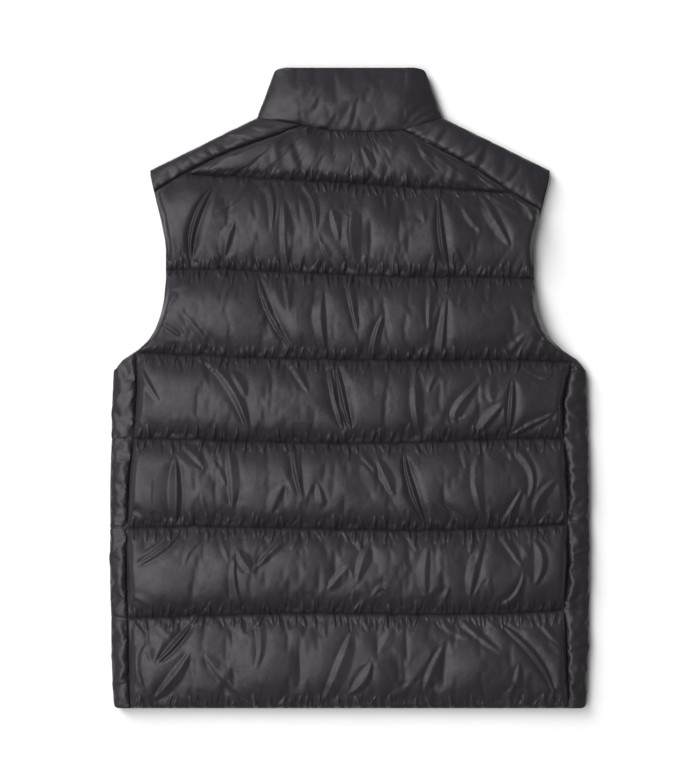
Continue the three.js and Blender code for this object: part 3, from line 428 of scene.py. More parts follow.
def blown(kind, sheet, held, turned=False):
    """The sheet as the padding under it blows it up between the held points."""
    slack, frames, pressure = CLOTHS[kind]
    faces = grid_faces(grid_ids(held.shape))
    faces = faces[:, ::-1] if turned else faces
    obj = add_object(f"{kind}_cloth", sheet.reshape(-1, 3), faces.tolist())
    group = obj.vertex_groups.new(name="pins")
    group.add(np.nonzero(held.reshape(-1))[0].tolist(), 1.0, "REPLACE")
    cloth = obj.modifiers.new("cloth", "CLOTH")
    settings = cloth.settings
    settings.vertex_group_mass = "pins"
    for name, value in CLOTH_SETTINGS.items():
        setattr(settings, name, value)
    settings.uniform_pressure_force = pressure
    settings.shrink_min = -slack
    settings.effector_weights.gravity = 0
    cloth.collision_settings.use_collision = False
    cloth.collision_settings.use_self_collision = False
    for step in range(1, frames + 1):
        bpy.context.scene.frame_set(step)
    shown = obj.evaluated_get(bpy.context.evaluated_depsgraph_get())
    points = np.empty(sheet.size)
    shown.data.vertices.foreach_get("co", points)
    mesh = obj.data
    bpy.data.objects.remove(obj)
    bpy.data.meshes.remove(mesh)
    bpy.context.scene.frame_set(1)
    return points.reshape(sheet.shape) / MM


def relaxed(sheet, held, times):
    """The sheet's heights evened out between neighbours, with the held points kept."""
    high = sheet[..., 2].copy()
    for _ in range(times):
        for axis in (0, 1):
            mean = (np.roll(high, 1, axis) + 2 * high + np.roll(high, -1, axis)) / 4
            high = np.where(held, high, mean)
    return raised(sheet[..., :2], high)


# Folds
def place_on(points, line):
    """How far the grid's points are from a line, on which side, and where along it."""
    near = np.all((points > line.min(0) - FOLD_REACH) & (points < line.max(0) + FOLD_REACH), -1)
    q = points[near]
    best = np.full(len(q), np.inf)
    side = np.zeros(len(q))
    at = np.zeros(len(q))
    steps = len(line) - 1
    for i in range(steps):
        a = line[i]
        d = line[i + 1] - a
        t = np.clip(((q - a) @ d) / (d @ d), 0, 1)
        off = q - (a + t[:, None] * d)
        dist = np.hypot(off[:, 0], off[:, 1])
        closer = dist < best
        best[closer] = dist[closer]
        side[closer] = np.sign(d[0] * off[:, 1] - d[1] * off[:, 0])[closer]
        at[closer] = ((i + t) / steps)[closer]
    return near, best, side, at


def to_thread(point):
    """How far a point is from the nearest row of stitching, taken at the row's middle."""
    return min(abs(point[1] - row[2]) for row in STITCH_ROWS)


def crest(off):
    """A crest's height at this share of its flank: 1 at its rounded top, 0 at its foot."""
    return 1 + CREST_ROUND - np.sqrt(off**2 + CREST_ROUND**2)


def folded(points, folds):
    """The folds' height change at each grid point: their crests less the hollows that they stand in."""
    crests = np.zeros(points.shape[:2])
    hollows = np.zeros(points.shape[:2])
    for k, fold in enumerate(folds):
        start, middle, end = np.array(fold[:6], float).reshape(3, 2)
        line = bend_at([start, 2 * middle - 0.5 * (start + end), end], np.linspace(0, 1, FOLD_POINTS))
        near, dist, side, at = place_on(points, line)
        look = FOLD_LOOKS[fold[6]]
        size = np.clip(np.hypot(*(end - start)) / FULL_FOLD, *FOLD_SIZES)
        if look["lens"]:
            spread = np.sin(np.pi * mix(*WITHIN_LENS, at)) ** LENS_POWER
        else:
            from_thread = at if to_thread(start) < to_thread(end) else 1 - at
            spread = (1 - from_thread) ** CONE_POWER
        height = look["height"] * size * STRENGTHS[k % len(STRENGTHS)] * np.clip(2 * spread, 0, 1)
        steep, wide = look["flanks"]
        flank = np.where(side == (1 if k % 3 else -1), wide, steep) * mix(END_FLANK, 1, spread)
        crests[near] = np.maximum(crests[near], height * crest(dist / flank))
        hollow = HOLLOW_SHARE * height * np.exp(-((dist / (HOLLOW_WIDTH * flank)) ** 2))
        hollows[near] = np.maximum(hollows[near], hollow)
    return crests - hollows


def puckered(along, up, rng, kind):
    """Short V puckers that start at a row of stitching: up is the way from the row."""
    spacing, lengths, depths, half_widths = PUCKERS[kind]
    total = np.zeros(np.broadcast(along, up).shape)
    x = float(along.min()) + rng.uniform(2, spacing)
    while x < along.max():
        long = rng.uniform(*lengths)
        deep = rng.uniform(*depths) * (0.5 + 0.5 * long / lengths[1])
        lean = rng.normal(0, PUCKER["lean"])
        half = rng.uniform(*half_widths)
        left = 1 - np.clip(up / long, 0, 1)
        off = (along - x - lean * up) / (half * left ** PUCKER["narrowing"] + PUCKER["tip"])
        total = np.maximum(total, deep * left ** PUCKER["sinking"] * np.clip(crest(off), 0, 1))
        x += rng.uniform(*PUCKER["gaps"]) * spacing
    return total


def in_channel(rows, channel):
    return np.array([c == channel for c, _ in rows])


def from_rows(points, rows):
    """The way from each grid point to the stitched rows below and above it."""
    up = np.zeros(points.shape[:2])
    down = np.zeros(points.shape[:2])
    for channel in sorted({c for c, _ in rows}):
        picked = np.nonzero(in_channel(rows, channel))[0]
        above = min(picked[-1] + 1, len(rows) - 1)
        up[picked] = np.linalg.norm(points[picked] - points[picked[0]], axis=-1)
        down[picked] = np.linalg.norm(points[picked] - points[above], axis=-1)
    return up, down


def row_puckers(points, rows, rng, kind):
    up, down = from_rows(points, rows)
    total = np.zeros(points.shape[:2])
    for channel in sorted({c for c, _ in rows}):
        picked = in_channel(rows, channel)
        full = np.minimum(1, (up + down)[picked] / FULL_CHANNEL)
        for way in (up, down):
            cones = puckered(points[picked][:, :, 0], way[picked], rng, kind)
            total[picked] = np.maximum(total[picked], cones * full)
    return total


# The grid's rows, and the back's grid between the seams
def channel_rows(scale=1):
    """Every grid row from the hem up, as its channel and its place across it."""
    rows = []
    for channel, length in enumerate(CHANNEL_LENGTHS):
        count = 2 * round(length / CELL_UP / 2) * scale
        rows += [(channel, i / count) for i in range(count)]
    return rows + [(NECK_CHANNEL, 1.0)]


def by_channel(sheet, rows, fine_rows):
    """More rows in each channel, with the stitched rows kept as they are."""
    parts = []
    for channel in range(len(CROWNS)):
        old = np.nonzero(in_channel(rows, channel))[0].tolist()
        count = in_channel(fine_rows, channel).sum()
        if channel == NECK_CHANNEL:
            parts.append(resample(sheet[old], count))
        else:
            parts.append(resample(sheet[old + [old[-1] + 1]], count + 1)[:-1])
    return np.concatenate(parts)


def armhole_edge(side):
    start = SIDE_SEAM[side][-1]
    end = SHOULDER_SEAM[side][0]
    low, high = start[1] + SEAM_END_GAP, end[1] - SEAM_END_GAP
    between = [(SIGN[side] * x, y) for x, y in ARMHOLE if low < y < high]
    return np.array([start, *between, end], float)


def back_edge(side, channel, across):
    """The point where a grid row ends at a side seam, an armhole or a shoulder seam."""
    end = 0 if side == "left" else -1
    arm = armhole_edge(side)
    row2 = STITCH_ROWS[SEAM_CHANNEL][end]
    if channel < SEAM_CHANNEL or channel == SEAM_CHANNEL and across <= SEAM_CORNER_AT:
        if channel < FIRST_ARMHOLE_CHANNEL:
            edge = np.array(SIDE_SEAM[side], float)
            y = mix(STITCH_ROWS[channel][end], STITCH_ROWS[channel + 1][end], across)
        elif channel == FIRST_ARMHOLE_CHANNEL:
            edge = arm
            y = mix(arm[0, 1], row2, across)
        else:
            edge = arm
            y = mix(row2, arm[-1, 1], across / SEAM_CORNER_AT)
        return np.array([np.interp(y, edge[:, 1], edge[:, 0]), y])
    shares = np.linspace(0, 1, SHOULDER_STEPS + 1)
    row_end = shares[np.argmin(np.abs(curve_at(SHOULDER_SEAM[side], shares)[:, 0] - ROW_END_X[side]))]
    if channel == SEAM_CHANNEL:
        return curve_at(SHOULDER_SEAM[side], row_end * (across - SEAM_CORNER_AT) / (1 - SEAM_CORNER_AT))
    return curve_at(SHOULDER_SEAM[side], mix(row_end, 1, across))


def bow(row, u):
    """How far a row of stitching bows from the straight line between its ends."""
    if row > NECK_CHANNEL:
        neck = np.array(NECK_SEAM, float)
        x = mix(neck[0, 0], neck[-1, 0], u)
        return np.interp(x, neck[:, 0], neck[:, 1]) - mix(neck[0, 1], neck[-1, 1], u)
    ys = STITCH_ROWS[row]
    curve = np.polyfit(np.linspace(0, 1, 5), ys, 4)
    return np.polyval(curve, u) - mix(ys[0], ys[-1], u)


def back_grid(columns, rows):
    u = np.linspace(0, 1, columns + 1)
    rng = np.random.default_rng(SEEDS["rows"])
    knots = rng.normal(0, ROW_WANDER, WANDER_KNOTS)
    wander = np.interp(u, np.linspace(0, 1, WANDER_KNOTS), knots)
    wander *= np.minimum(1, 12 * np.minimum(u, 1 - u))
    lines = []
    for channel, across in rows:
        left = back_edge("left", channel, across)
        right = back_edge("right", channel, across)
        line = left + (right - left) * u[:, None]
        line[:, 1] += mix(bow(channel, u), bow(channel + 1, u), across)
        way = min(across, 1 - across) * CHANNEL_LENGTHS[channel]
        if (channel, across) not in ((0, 0), (NECK_CHANNEL, 1.0)):
            line[:, 1] += wander * np.exp(-way / WANDER_FADE)
        lines.append(line)
    return np.array(lines)


def back_rise(points, rows):
    """How far the padding lifts each point, before the cloth is blown up."""
    across = np.array([a for _, a in rows])
    crown = np.array([CROWNS[c] for c, _ in rows], float)
    power = np.where(in_channel(rows, NECK_CHANNEL), NECK_CROWN_POWER, CROWN_POWER)
    puff = crown * np.sin(np.pi * across) ** power
    ways = [np.linalg.norm(points - end, axis=-1) for end in (points[:, :1], points[:, -1:])]
    rounded = np.sqrt(1 - (1 - np.clip(np.minimum(*ways) / EDGE_ROUND, 0, 1)) ** 2)
    up, down = from_rows(points, rows)
    return puff[:, None] * rounded * np.minimum(1, (up + down) / FULL_CHANNEL)


def blown_back(rng, rows):
    width = SIDE_SEAM["right"][0][0] - SIDE_SEAM["left"][0][0]
    points = back_grid(2 * round(width / CELL_ALONG / 2), rows)
    rise = back_rise(points, rows)
    cones = row_puckers(points, rows, rng, "back_broad")
    height = UNBLOWN_SHARE * rise - cones + bumps(rng, points, "back") * np.clip(rise / 4, 0, 1)
    height = np.maximum(height, LEAST_SHARE * rise)
    held = held_grid(rise.shape, np.array([a == 0 for _, a in rows]))
    height[held] = 0
    level = np.full(rise.shape, THREAD_Z)
    level[:, 0] = level[:, -1] = level[0] = level[-1] = BORDER_Z
    sheet = blown("back", raised(points, level + height), held)
    return relaxed(sheet, held, BACK_SMOOTHINGS)


def make_back():
    """The back's pieces, and the lines of stitching across them."""
    rng = np.random.default_rng(SEEDS["back"])
    rows = channel_rows()
    fine_rows = channel_rows(FINER)
    sheet = blown_back(rng, rows)
    sheet = resample(by_channel(sheet, rows, fine_rows), FINER * (sheet.shape[1] - 1) + 1, axis=1)

    # Small puckers at the thread, the folds, and the stitched valleys
    flat = sheet[..., :2]
    way = np.minimum(*from_rows(flat, fine_rows))
    inside = np.clip((sheet[..., 2] - THREAD_Z) / 2, 0, 1)
    dents = row_puckers(flat, fine_rows, rng, "back_dents")
    ridges = row_puckers(flat, fine_rows, rng, "back_ridges")
    sheet[..., 2] += (folded(flat, BACK_FOLDS) - dents + ridges) * inside
    valley = THREAD_Z + VALLEY_RISE * (1 - np.exp(-way / VALLEY_REACH))
    valley += VALLEY_BELLY * (1 - np.exp(-way / VALLEY_WIDTH))
    sheet[..., 2] = np.maximum(sheet[..., 2], valley)
    sheet[..., 2] = np.where(way > 0, sheet[..., 2], THREAD_Z)
    sheet[:, 0, 2] = sheet[:, -1, 2] = sheet[0, :, 2] = sheet[-1, :, 2] = BORDER_Z

    stitched = np.array([a == 0 and i > 0 for i, (_, a) in enumerate(fine_rows)])
    starts = [[c for c, _ in fine_rows].index(channel) for channel in BACK_PIECES.values()]
    pieces = []
    for name, start, stop in zip(BACK_PIECES, starts, starts[1:] + [len(fine_rows) - 1]):
        part = sheet[start : stop + 1]
        faces = grid_faces(grid_ids(part.shape[:2]))
        outer = part.reshape(-1, 3)
        inner = outer.copy()
        inner[:, 2] = INNER_Z
        piece = closed_piece(name, outer, inner, faces, np.ones(len(faces), bool))
        shade(piece, 180)
        sharpen(piece, np.nonzero(np.repeat(stitched[start : stop + 1], part.shape[1]))[0])
        pieces.append(piece)
    return pieces, list(sheet[stitched])


# The padded turn of a front or of the collar, from its flat part (-1) round the fold (0) to the seam (1)
TURN = [
    # place, height, height where stitched, inner inset, inner height
    (-0.5, 1.2, 2.8, 7.4, 9.7), (-0.13, 4.2, 5.2, 6.9, 9.84), (0, 8.6, 8.6, 6.7, 10),
    (0.06, 12, 11, 6.9, 10.16), (0.22, 14.4, 12.4, 7.4, 10.3), (0.46, 16.2, 13.2, None, 10.3),
    (0.74, 17.2, 13.4, None, 10.3), (0.92, 16.2, 13.2, None, 10.3), (1, 12.4, 12.2, None, 10.3),
]
COLLAR_HEIGHTS = [1.2, 4.2, 8.6, 12, 14.8, 17.4, 19.4, 20.3, 20.6]
FINE_TURN = 19
FOLD_COLUMN = 6
PAST_FOLD = np.clip(np.arange(FINE_TURN) / FINE_TURN * 3 - 1, 0, 1)
SEAM_HALF = 0.17
SHOULDER_SEAM_HALF = (0.09, SEAM_HALF)

# The side's fold line: how it bows about its widest place, and its round corner at the hem
SIDE_BOW = 1.085e-4
SIDE_WIDEST_Y = -174
HEM_CORNER = {"up": 6, "across": 3}
FLAT_TO_FOLD = 9
STITCH_PULL = 0.9

# Folds read on the strips that wrap round the sides
STRIP_FOLDS = {
    "right": [
        (250, -104, 258, -101, 267, -98, "spindle"), (254, -148, 263, -137, 272, -123, "slit"),
        (255, -190, 263, -187, 272, -183, "slit"), (250, -253, 261, -244, 272, -234, "spindle"),
        (247, -300, 258, -296, 268, -290, "cone"), (246, -24, 256, -30, 266, -38, "cone"),
    ],
    "left": [
        (-272, -108, -268, -114, -264, -119, "spindle"), (-265, -131, -260, -135, -255, -138, "slit"),
        (-273, -181, -268, -187, -262, -195, "spindle"), (-273, -316, -264, -326, -254, -337, "spindle"),
        (-272, -8, -264, -22, -257, -37, "spindle"), (-271, -250, -264, -246, -257, -240, "cone"),
    ],
}

# Folds along the shoulder strips and at the collar's foot
SHOULDER_FOLDS = {
    "right": [
        (140, 258, 148, 270, 152, 282, "cone"), (176, 238, 186, 250, 190, 262, "spindle"),
        (98, 284, 104, 292, 108, 302, "cone"),
    ],
    "left": [(-150, 268, -156, 274, -160, 281, "cone"), (-196, 245, -200, 252, -205, 260, "cone")],
}
COLLAR_FOLDS = [
    (-104, 312, -80, 306, -56, 303, "soft"), (-85, 316, -66, 315, -46, 319, "slit"),
    (-46, 319, -40, 324, -38, 332, "cone"), (61, 298, 85, 303, 106, 311, "soft"),
    (64, 297, 84, 315, 103, 318, "slit"), (-30, 299, -22, 306, -18, 314, "cone"),
    (20, 298, 24, 305, 25, 312, "cone"), (-4, 300, 2, 312, 4, 326, "cone"),
]


def turn_points(edge, fold, seam, puff, edge_z):
    """Outer and inner points from the flat part's edge round the fold to the seam."""
    edge, fold, seam = (np.asarray(p, float) for p in (edge, fold, seam))
    outer = [(*edge, edge_z)]
    inner = [(*edge, FRONT_TOP_Z)]
    for place, high, pinched, inset, inner_z in TURN:
        target = edge if place < 0 else seam
        p = mix(fold, target, abs(place))
        span = np.hypot(*(target - fold))
        q = p if inset is None else mix(fold, target, min(inset / span, 1))
        outer.append((*p, mix(pinched, high, puff)))
        inner.append((*q, inner_z))
    return resample(np.array(outer), FINE_TURN), resample(np.array(inner), FINE_TURN)


def side_fold(y):
    corner = 1 - np.sqrt(1 - (1 - np.clip((y - HEM_Y) / HEM_CORNER["up"], 0, 1)) ** 2)
    return SIDE_FOLD_X - SIDE_BOW * (y - SIDE_WIDEST_Y) ** 2 - HEM_CORNER["across"] * corner


def front_inner_edge(channel, across):
    if channel < NECK_CHANNEL:
        above = STITCH_ROWS[channel + 1][2] if channel + 1 < NECK_CHANNEL else FRONT_ROW1_Y
        return np.array([ZIP_EDGE_X, mix(STITCH_ROWS[channel][2], above, across)])
    if across <= NECK_CORNER_AT:
        return np.array([ZIP_EDGE_X, mix(FRONT_ROW1_Y, FRONT_NECK[0][1], across / NECK_CORNER_AT)])
    return bend_at(FRONT_NECK, (across - NECK_CORNER_AT) / (1 - NECK_CORNER_AT))


def front_outer_edge(side, channel, across):
    end = 0 if side == "left" else -1
    if channel < FIRST_ARMHOLE_CHANNEL:
        top = min(STITCH_ROWS[channel + 1][end], ARMHOLE[0][1])
        y = mix(STITCH_ROWS[channel][end], top, across)
        return np.array([side_fold(y) - FLAT_TO_FOLD, y])
    share = (channel - FIRST_ARMHOLE_CHANNEL + across) / (len(CROWNS) - FIRST_ARMHOLE_CHANNEL)
    return curve_at(ARMHOLE, share)


def front_flat(side, rng, fine_rows):
    """The flat part, which rests on its outer face, worked out as the right half."""
    sign = SIGN[side]
    rows = channel_rows()
    share = np.linspace(0, 1, FRONT_COLUMNS + 1)
    starts = np.array([front_inner_edge(c, a) for c, a in rows])
    ends = np.array([front_outer_edge(side, c, a) for c, a in rows])
    flat = starts[:, None] + (ends - starts)[:, None] * share[:, None]
    way = np.minimum(*from_rows(flat, rows))
    mirrored = [
        (-x0 * sign, y0, -x1 * sign, y1, -x2 * sign, y2, look)
        for x0, y0, x1, y1, x2, y2, look in BACK_FOLDS[::2]
    ]
    height = FRONT_GROOVE["height"] * np.exp(-way / FRONT_GROOVE["width"]) - FRONT_GROOVE["sunk"]
    height += row_puckers(flat, rows, rng, "front") - FRONT_FOLD_SHARE * folded(flat, mirrored)
    height += bumps(rng, flat, "front")
    stitched = np.array([a == 0 for _, a in rows])
    height[stitched] = FRONT_GROOVE["at_thread"]
    height = np.maximum(height, 0)
    height[:, 0] = np.maximum(height[:, 0], FRONT_EDGE_HEIGHT)
    armhole = np.array([c >= FIRST_ARMHOLE_CHANNEL for c, _ in rows])
    height[armhole, -1] = np.maximum(height[armhole, -1], FRONT_ARMHOLE_HEIGHT)
    height[0] = height[-1] = FRONT_EDGE_HEIGHT
    held = held_grid(height.shape, stitched)
    main = relaxed(blown("front", raised(flat, height), held, turned=True), held, FRONT_SMOOTHINGS)
    main = resample(by_channel(main, rows, fine_rows), 2 * FRONT_COLUMNS + 1, axis=1)
    main[..., 2] = np.clip(main[..., 2], 0, FRONT_GROOVE["most"])
    return main


def side_strip(side, rng, main, rows):
    """Outer and inner sheet of the strip that wraps the side, up to the side seam."""
    sign = SIGN[side]
    turns = []
    for r, (channel, a) in enumerate(rows):
        seam = back_edge(side, channel, a) * (sign, 1) + (SEAM_HALF, 0)
        puff = np.sin(np.pi * a) ** CROWN_POWER
        fold_y = seam[1]
        if channel == TOP_SIDE_CHANNEL:
            fold_y = mix(STITCH_ROWS[channel][0 if sign < 0 else -1], SIDE_FOLD_TOP[1], a)
        fold = (side_fold(fold_y) - STITCH_PULL * (1 - puff), fold_y)
        if channel == FIRST_ARMHOLE_CHANNEL:
            fold = SIDE_FOLD_TOP
        turns.append(turn_points(main[r, -1, :2], fold, seam, puff, main[r, -1, 2]))
    strip, inner = (np.array(part) for part in zip(*turns))
    arc = np.cumsum(np.linalg.norm(np.diff(strip[len(strip) // 2], axis=0), axis=1))
    arc = np.concatenate(([0], arc))[None, :]
    lift = np.zeros(strip.shape[:2])
    for way in from_rows(strip, rows):
        for channel in range(FIRST_ARMHOLE_CHANNEL):
            picked = in_channel(rows, channel)
            lift[picked] -= puckered(arc, way[picked], rng, "strip")
    lift += folded(strip[..., :2] * (sign, 1), STRIP_FOLDS[side]) * PAST_FOLD * WRAP_FOLD_SHARE
    lift += bumps(rng, strip[..., :2], "strip")
    held = held_grid(lift.shape, np.array([a == 0 for _, a in rows]))
    held[:, FOLD_COLUMN] = True
    lift[held] = 0
    strip = blown("strip", strip - grid_normals(strip) * lift[..., None], held, turned=True)
    strip[..., 2] = np.maximum(strip[..., 2], 0)
    return strip, inner


def shoulder_strip(side, rng, main):
    """Outer and inner sheet of the strip that wraps the shoulder, up to the shoulder seam."""
    sign = SIGN[side]
    count = main.shape[1]
    places = np.linspace(0, 1, count)
    seam_line = np.array(SHOULDER_SEAM[side][::-1], float) * (sign, 1)
    seam_points = curve_at(seam_line, places) + SHOULDER_SEAM_HALF
    turns = []
    for c, place in enumerate(places):
        puff = np.sin(np.pi * mix(*WITHIN_LENS, place)) ** SHOULDER_CROWN_POWER
        fold = mix(np.array(NECK_POINT), np.array(SHOULDER_TIP), place)
        turns.append(turn_points(main[-1, c, :2], fold, seam_points[c], puff, main[-1, c, 2]))
    shoulder, inner = (np.array(part) for part in zip(*turns))
    seen = shoulder[..., :2] * (sign, 1)
    lift = folded(seen, SHOULDER_FOLDS[side]) * PAST_FOLD + bumps(rng, seen, "shoulder")
    along = seen[:, :1, 0] * sign * np.ones(FINE_TURN)
    for kind, column in (("shoulder_seam", FINE_TURN - 1), ("shoulder_fold", FOLD_COLUMN)):
        way = np.linalg.norm(shoulder - shoulder[:, column : column + 1], axis=-1)
        lift -= puckered(along, way, rng, kind) * PAST_FOLD
    held = held_grid(lift.shape)
    held[:, FOLD_COLUMN] = True
    lift[held] = 0
    return blown("shoulder", shoulder + grid_normals(shoulder) * lift[..., None], held), inner


def make_front(side):
    """One front as one closed piece, and the lines of stitching across it."""
    sign = SIGN[side]
    rng = np.random.default_rng(SEEDS["front"] + sign)
    rows = channel_rows(FINER)
    side_rows = [row for row in rows if row <= (FIRST_ARMHOLE_CHANNEL, 0)]
    main = front_flat(side, rng, rows)
    strip, strip_inner = side_strip(side, rng, main, side_rows)
    shoulder, shoulder_inner = shoulder_strip(side, rng, main)
    main_inner = main.copy()
    main_inner[..., 2] = FRONT_TOP_Z

    main_ids = grid_ids(main.shape[:2])
    strip_ids = grid_ids((len(strip), FINE_TURN - 1), main_ids.size)
    shoulder_ids = grid_ids((len(shoulder), FINE_TURN - 1), main_ids.size + strip_ids.size)
    strip_ids = np.concatenate([main_ids[: len(strip), -1:], strip_ids], 1)
    shoulder_ids = np.concatenate([main_ids[-1][:, None], shoulder_ids], 1)
    main_faces = grid_faces(main_ids)[:, ::-1]
    faces = np.concatenate([main_faces, grid_faces(strip_ids)[:, ::-1], grid_faces(shoulder_ids)])
    faces = faces[:, ::-1] if sign < 0 else faces
    outer, inner = (
        np.concatenate([part.reshape(-1, 3) for part in parts]) * (sign, 1, 1)
        for parts in (
            (main, strip[:, 1:], shoulder[:, 1:]),
            (main_inner, strip_inner[:, 1:], shoulder_inner[:, 1:]),
        )
    )
    capped = np.arange(len(faces)) < len(main_faces)
    obj = closed_piece(f"front_{side}_shell", outer, inner, faces, capped)
    shade(obj)
    lines = []
    for r, (channel, a) in enumerate(rows):
        if a == 0 and r > 0:
            line = main[r, 3:]
            if channel < FIRST_ARMHOLE_CHANNEL:
                line = np.concatenate([line, strip[r, 1:-1]])
            lines.append(line * (sign, 1, 1))
    return obj, lines


# The collar: one padded ring from the zip edge, round both folds, to the other zip edge
COLLAR_FRONT_COLUMNS = 14
COLLAR_NECK_COLUMNS = 24
COLLAR_FINE = 2
COLLAR_ROWS = 27
COLLAR_CLEARANCE = 0.42
COLLAR_NUDGE = 0.3
COLLAR_INNER_DROP = 0.45
COLLAR_FRONT_PINCHED = 2.6
COLLAR_BACK_HEIGHT = 21
COLLAR_BACK_PINCHED = 12.4
COLLAR_HALF_TOP = 63
COLLAR_CROWN_POWER = 0.45
COLLAR_MIDDLE_SWELL = 0.12
COLLAR_FALL = 0.35


def collar_half(side):
    """Columns as the right half: the outer face's bottom, top and two heights, then the inner face's."""
    corner = np.array(SHOULDER_SEAM[side][-1], float) * (SIGN[side], 1)
    columns = []
    for t in np.linspace(0, 1, COLLAR_FRONT_COLUMNS):
        bottom = bend_at(FRONT_NECK, t) + (-COLLAR_NUDGE * min(1, 8 * t), COLLAR_CLEARANCE)
        top = bend_at(COLLAR_FRONT_TOP, t)
        columns.append((*bottom, *top, 0, COLLAR_FRONT_PINCHED, *bottom, *top, FRONT_TOP_Z))
    turn_top = np.array(COLLAR_TURN_TOP + COLLAR_BACK_TOP, float)
    fold = np.array(NECK_POINT)
    for height, top, (place, _, pinched, inset, inner_z) in zip(COLLAR_HEIGHTS, turn_top, TURN):
        target = np.array(FRONT_NECK[2]) if place < 0 else corner
        nudge = (-COLLAR_NUDGE if place < 0 else 0, COLLAR_CLEARANCE)
        bottom = mix(fold, target, abs(place)) + nudge
        inner_bottom, inner_top = bottom, top
        if inset is not None:
            inner_bottom = mix(fold, target, inset / np.hypot(*(target - fold))) + nudge
            inner_top = (COLLAR_TURN_TOP[2][0] - inset, top[1])
            inner_z -= COLLAR_INNER_DROP
        columns.append((*bottom, *top, height, pinched, *inner_bottom, *inner_top, inner_z))
    columns = np.array(columns, float)
    columns[:, [0, 2, 6, 8]] *= SIGN[side]
    return columns


def make_collar():
    rng = np.random.default_rng(SEEDS["collar"])
    neck = []
    for share in np.linspace(0, 1, COLLAR_NECK_COLUMNS + 2)[1:-1]:
        x, y = curve_at(NECK_SEAM, share)
        bottom = (x, y + COLLAR_CLEARANCE)
        top = (mix(-COLLAR_HALF_TOP, COLLAR_HALF_TOP, share), COLLAR_TOP_Y)
        neck.append((*bottom, *top, COLLAR_BACK_HEIGHT, COLLAR_BACK_PINCHED, *bottom, *top, INNER_Z))
    columns = np.concatenate([collar_half("left"), np.array(neck, float), collar_half("right")[::-1]])
    columns = resample(columns, COLLAR_FINE * (len(columns) - 1) + 1)
    up = np.linspace(0, 1, COLLAR_ROWS)[:, None]
    puff = np.sin(np.pi * mix(0.005, 0.995, up)) ** COLLAR_CROWN_POWER
    puff *= 1 - COLLAR_MIDDLE_SWELL * np.cos(2 * np.pi * up) - COLLAR_FALL * up
    height = mix(columns[:, 5], columns[:, 4], np.clip(puff, 0, 1))
    outer = raised(mix(columns[:, :2], columns[:, 2:4], up[..., None]), height)
    inner_z = np.broadcast_to(columns[:, 10], height.shape)
    inner = raised(mix(columns[:, 6:8], columns[:, 8:10], up[..., None]), inner_z)
    on_back = np.clip((height - 11) / 4, 0, 1)
    flat = outer[..., :2]
    lift = folded(flat, COLLAR_FOLDS) * WRAP_FOLD_SHARE * on_back
    lift += (bumps(rng, flat, "collar") + bumps(rng, flat, "collar_broad")) * on_back
    held = held_grid(lift.shape)
    lift[held] = 0
    outer = blown("collar", raised(flat, height + lift), held)
    outer[..., 2] = np.maximum(outer[..., 2], 0)
    faces = grid_faces(grid_ids(height.shape))
    obj = closed_piece("collar_ring", outer.reshape(-1, 3), inner.reshape(-1, 3), faces)
    shade(obj)
    return obj


# Small repeated parts: stitches and teeth. Rings give the share of the way and the size there.
STITCH = {"first": 1.5, "pitch": 3.2, "long": 2.1, "radius": 0.3, "sides": 6}
STITCH_RINGS = [(0, 0.35), (0.18, 1), (0.82, 1), (1, 0.35)]
STITCH_LIFTS = {"back": 0.22, "front": -0.12}
TOOTH = [
    (2.5, -0.95), (0.9, -0.95), (0.5, -0.5), (-0.2, -0.5), (-0.6, -0.95), (-1, -0.7),
    (-1, 0.7), (-0.6, 0.95), (-0.2, 0.5), (0.5, 0.5), (0.9, 0.95), (2.5, 0.95),
]
TOOTH_RINGS = [(0, 0.84), (0.14, 1), (0.86, 1), (1, 0.84)]
TOOTH_PITCH = 2.9
TEETH_MARGINS = (1.2, 1.8)


def tube_polygons(rings, sides, first):
    polygons = [[first + i for i in reversed(range(sides))]]
    for ring in range(rings - 1):
        for i in range(sides):
            a = first + ring * sides + i
            b = first + ring * sides + (i + 1) % sides
            polygons.append([a, b, b + sides, a + sides])
    polygons.append([first + (rings - 1) * sides + i for i in range(sides)])
    return polygons


def make_stitches(lines):
    points, polygons = [], []
    turns = 2 * np.pi * np.arange(STITCH["sides"]) / STITCH["sides"]
    for line, lift in lines:
        reach = np.concatenate(([0], np.cumsum(np.linalg.norm(np.diff(line, axis=0), axis=1))))
        for s in np.arange(STITCH["first"], reach[-1] - STITCH["long"], STITCH["pitch"]):
            ats = (s, s + STITCH["long"])
            start, end = np.array([[np.interp(at, reach, line[:, k]) for k in range(3)] for at in ats])
            way = (end - start) / np.linalg.norm(end - start)
            side = np.cross(way, (0, 0, 1))
            side /= max(np.linalg.norm(side), 1e-9)
            top = np.cross(side, way)
            first = len(points)
            for share, size in STITCH_RINGS:
                round_way = np.cos(turns)[:, None] * side + np.sin(turns)[:, None] * top
                centre = mix(start, end, share) + (0, 0, lift * size)
                points += (centre + size * STITCH["radius"] * round_way).tolist()
            polygons += tube_polygons(len(STITCH_RINGS), STITCH["sides"], first)
    return add_object("stitches", points, polygons)


def make_teeth():
    y_low, y_high = cad_range("zip_chain", 1)
    z_low, z_high = cad_range("zip_chain", 2)
    shape = np.array(TOOTH, float)
    middle = shape.mean(0)
    points, polygons = [], []
    for i in range(int((y_high - y_low - sum(TEETH_MARGINS)) / TOOTH_PITCH)):
        for sign, step in ((1, 0), (-1, 0.5)):
            y = y_low + TEETH_MARGINS[0] + (i + step) * TOOTH_PITCH
            first = len(points)
            for share, size in TOOTH_RINGS:
                ring = middle + (shape - middle) * size
                z = mix(z_low, z_high, share)
                points += [(sign * x, y + dy * sign, z) for x, dy in ring]
            polygons += tube_polygons(len(TOOTH_RINGS), len(TOOTH), first)
    return add_object("zip_teeth_row", points, polygons)


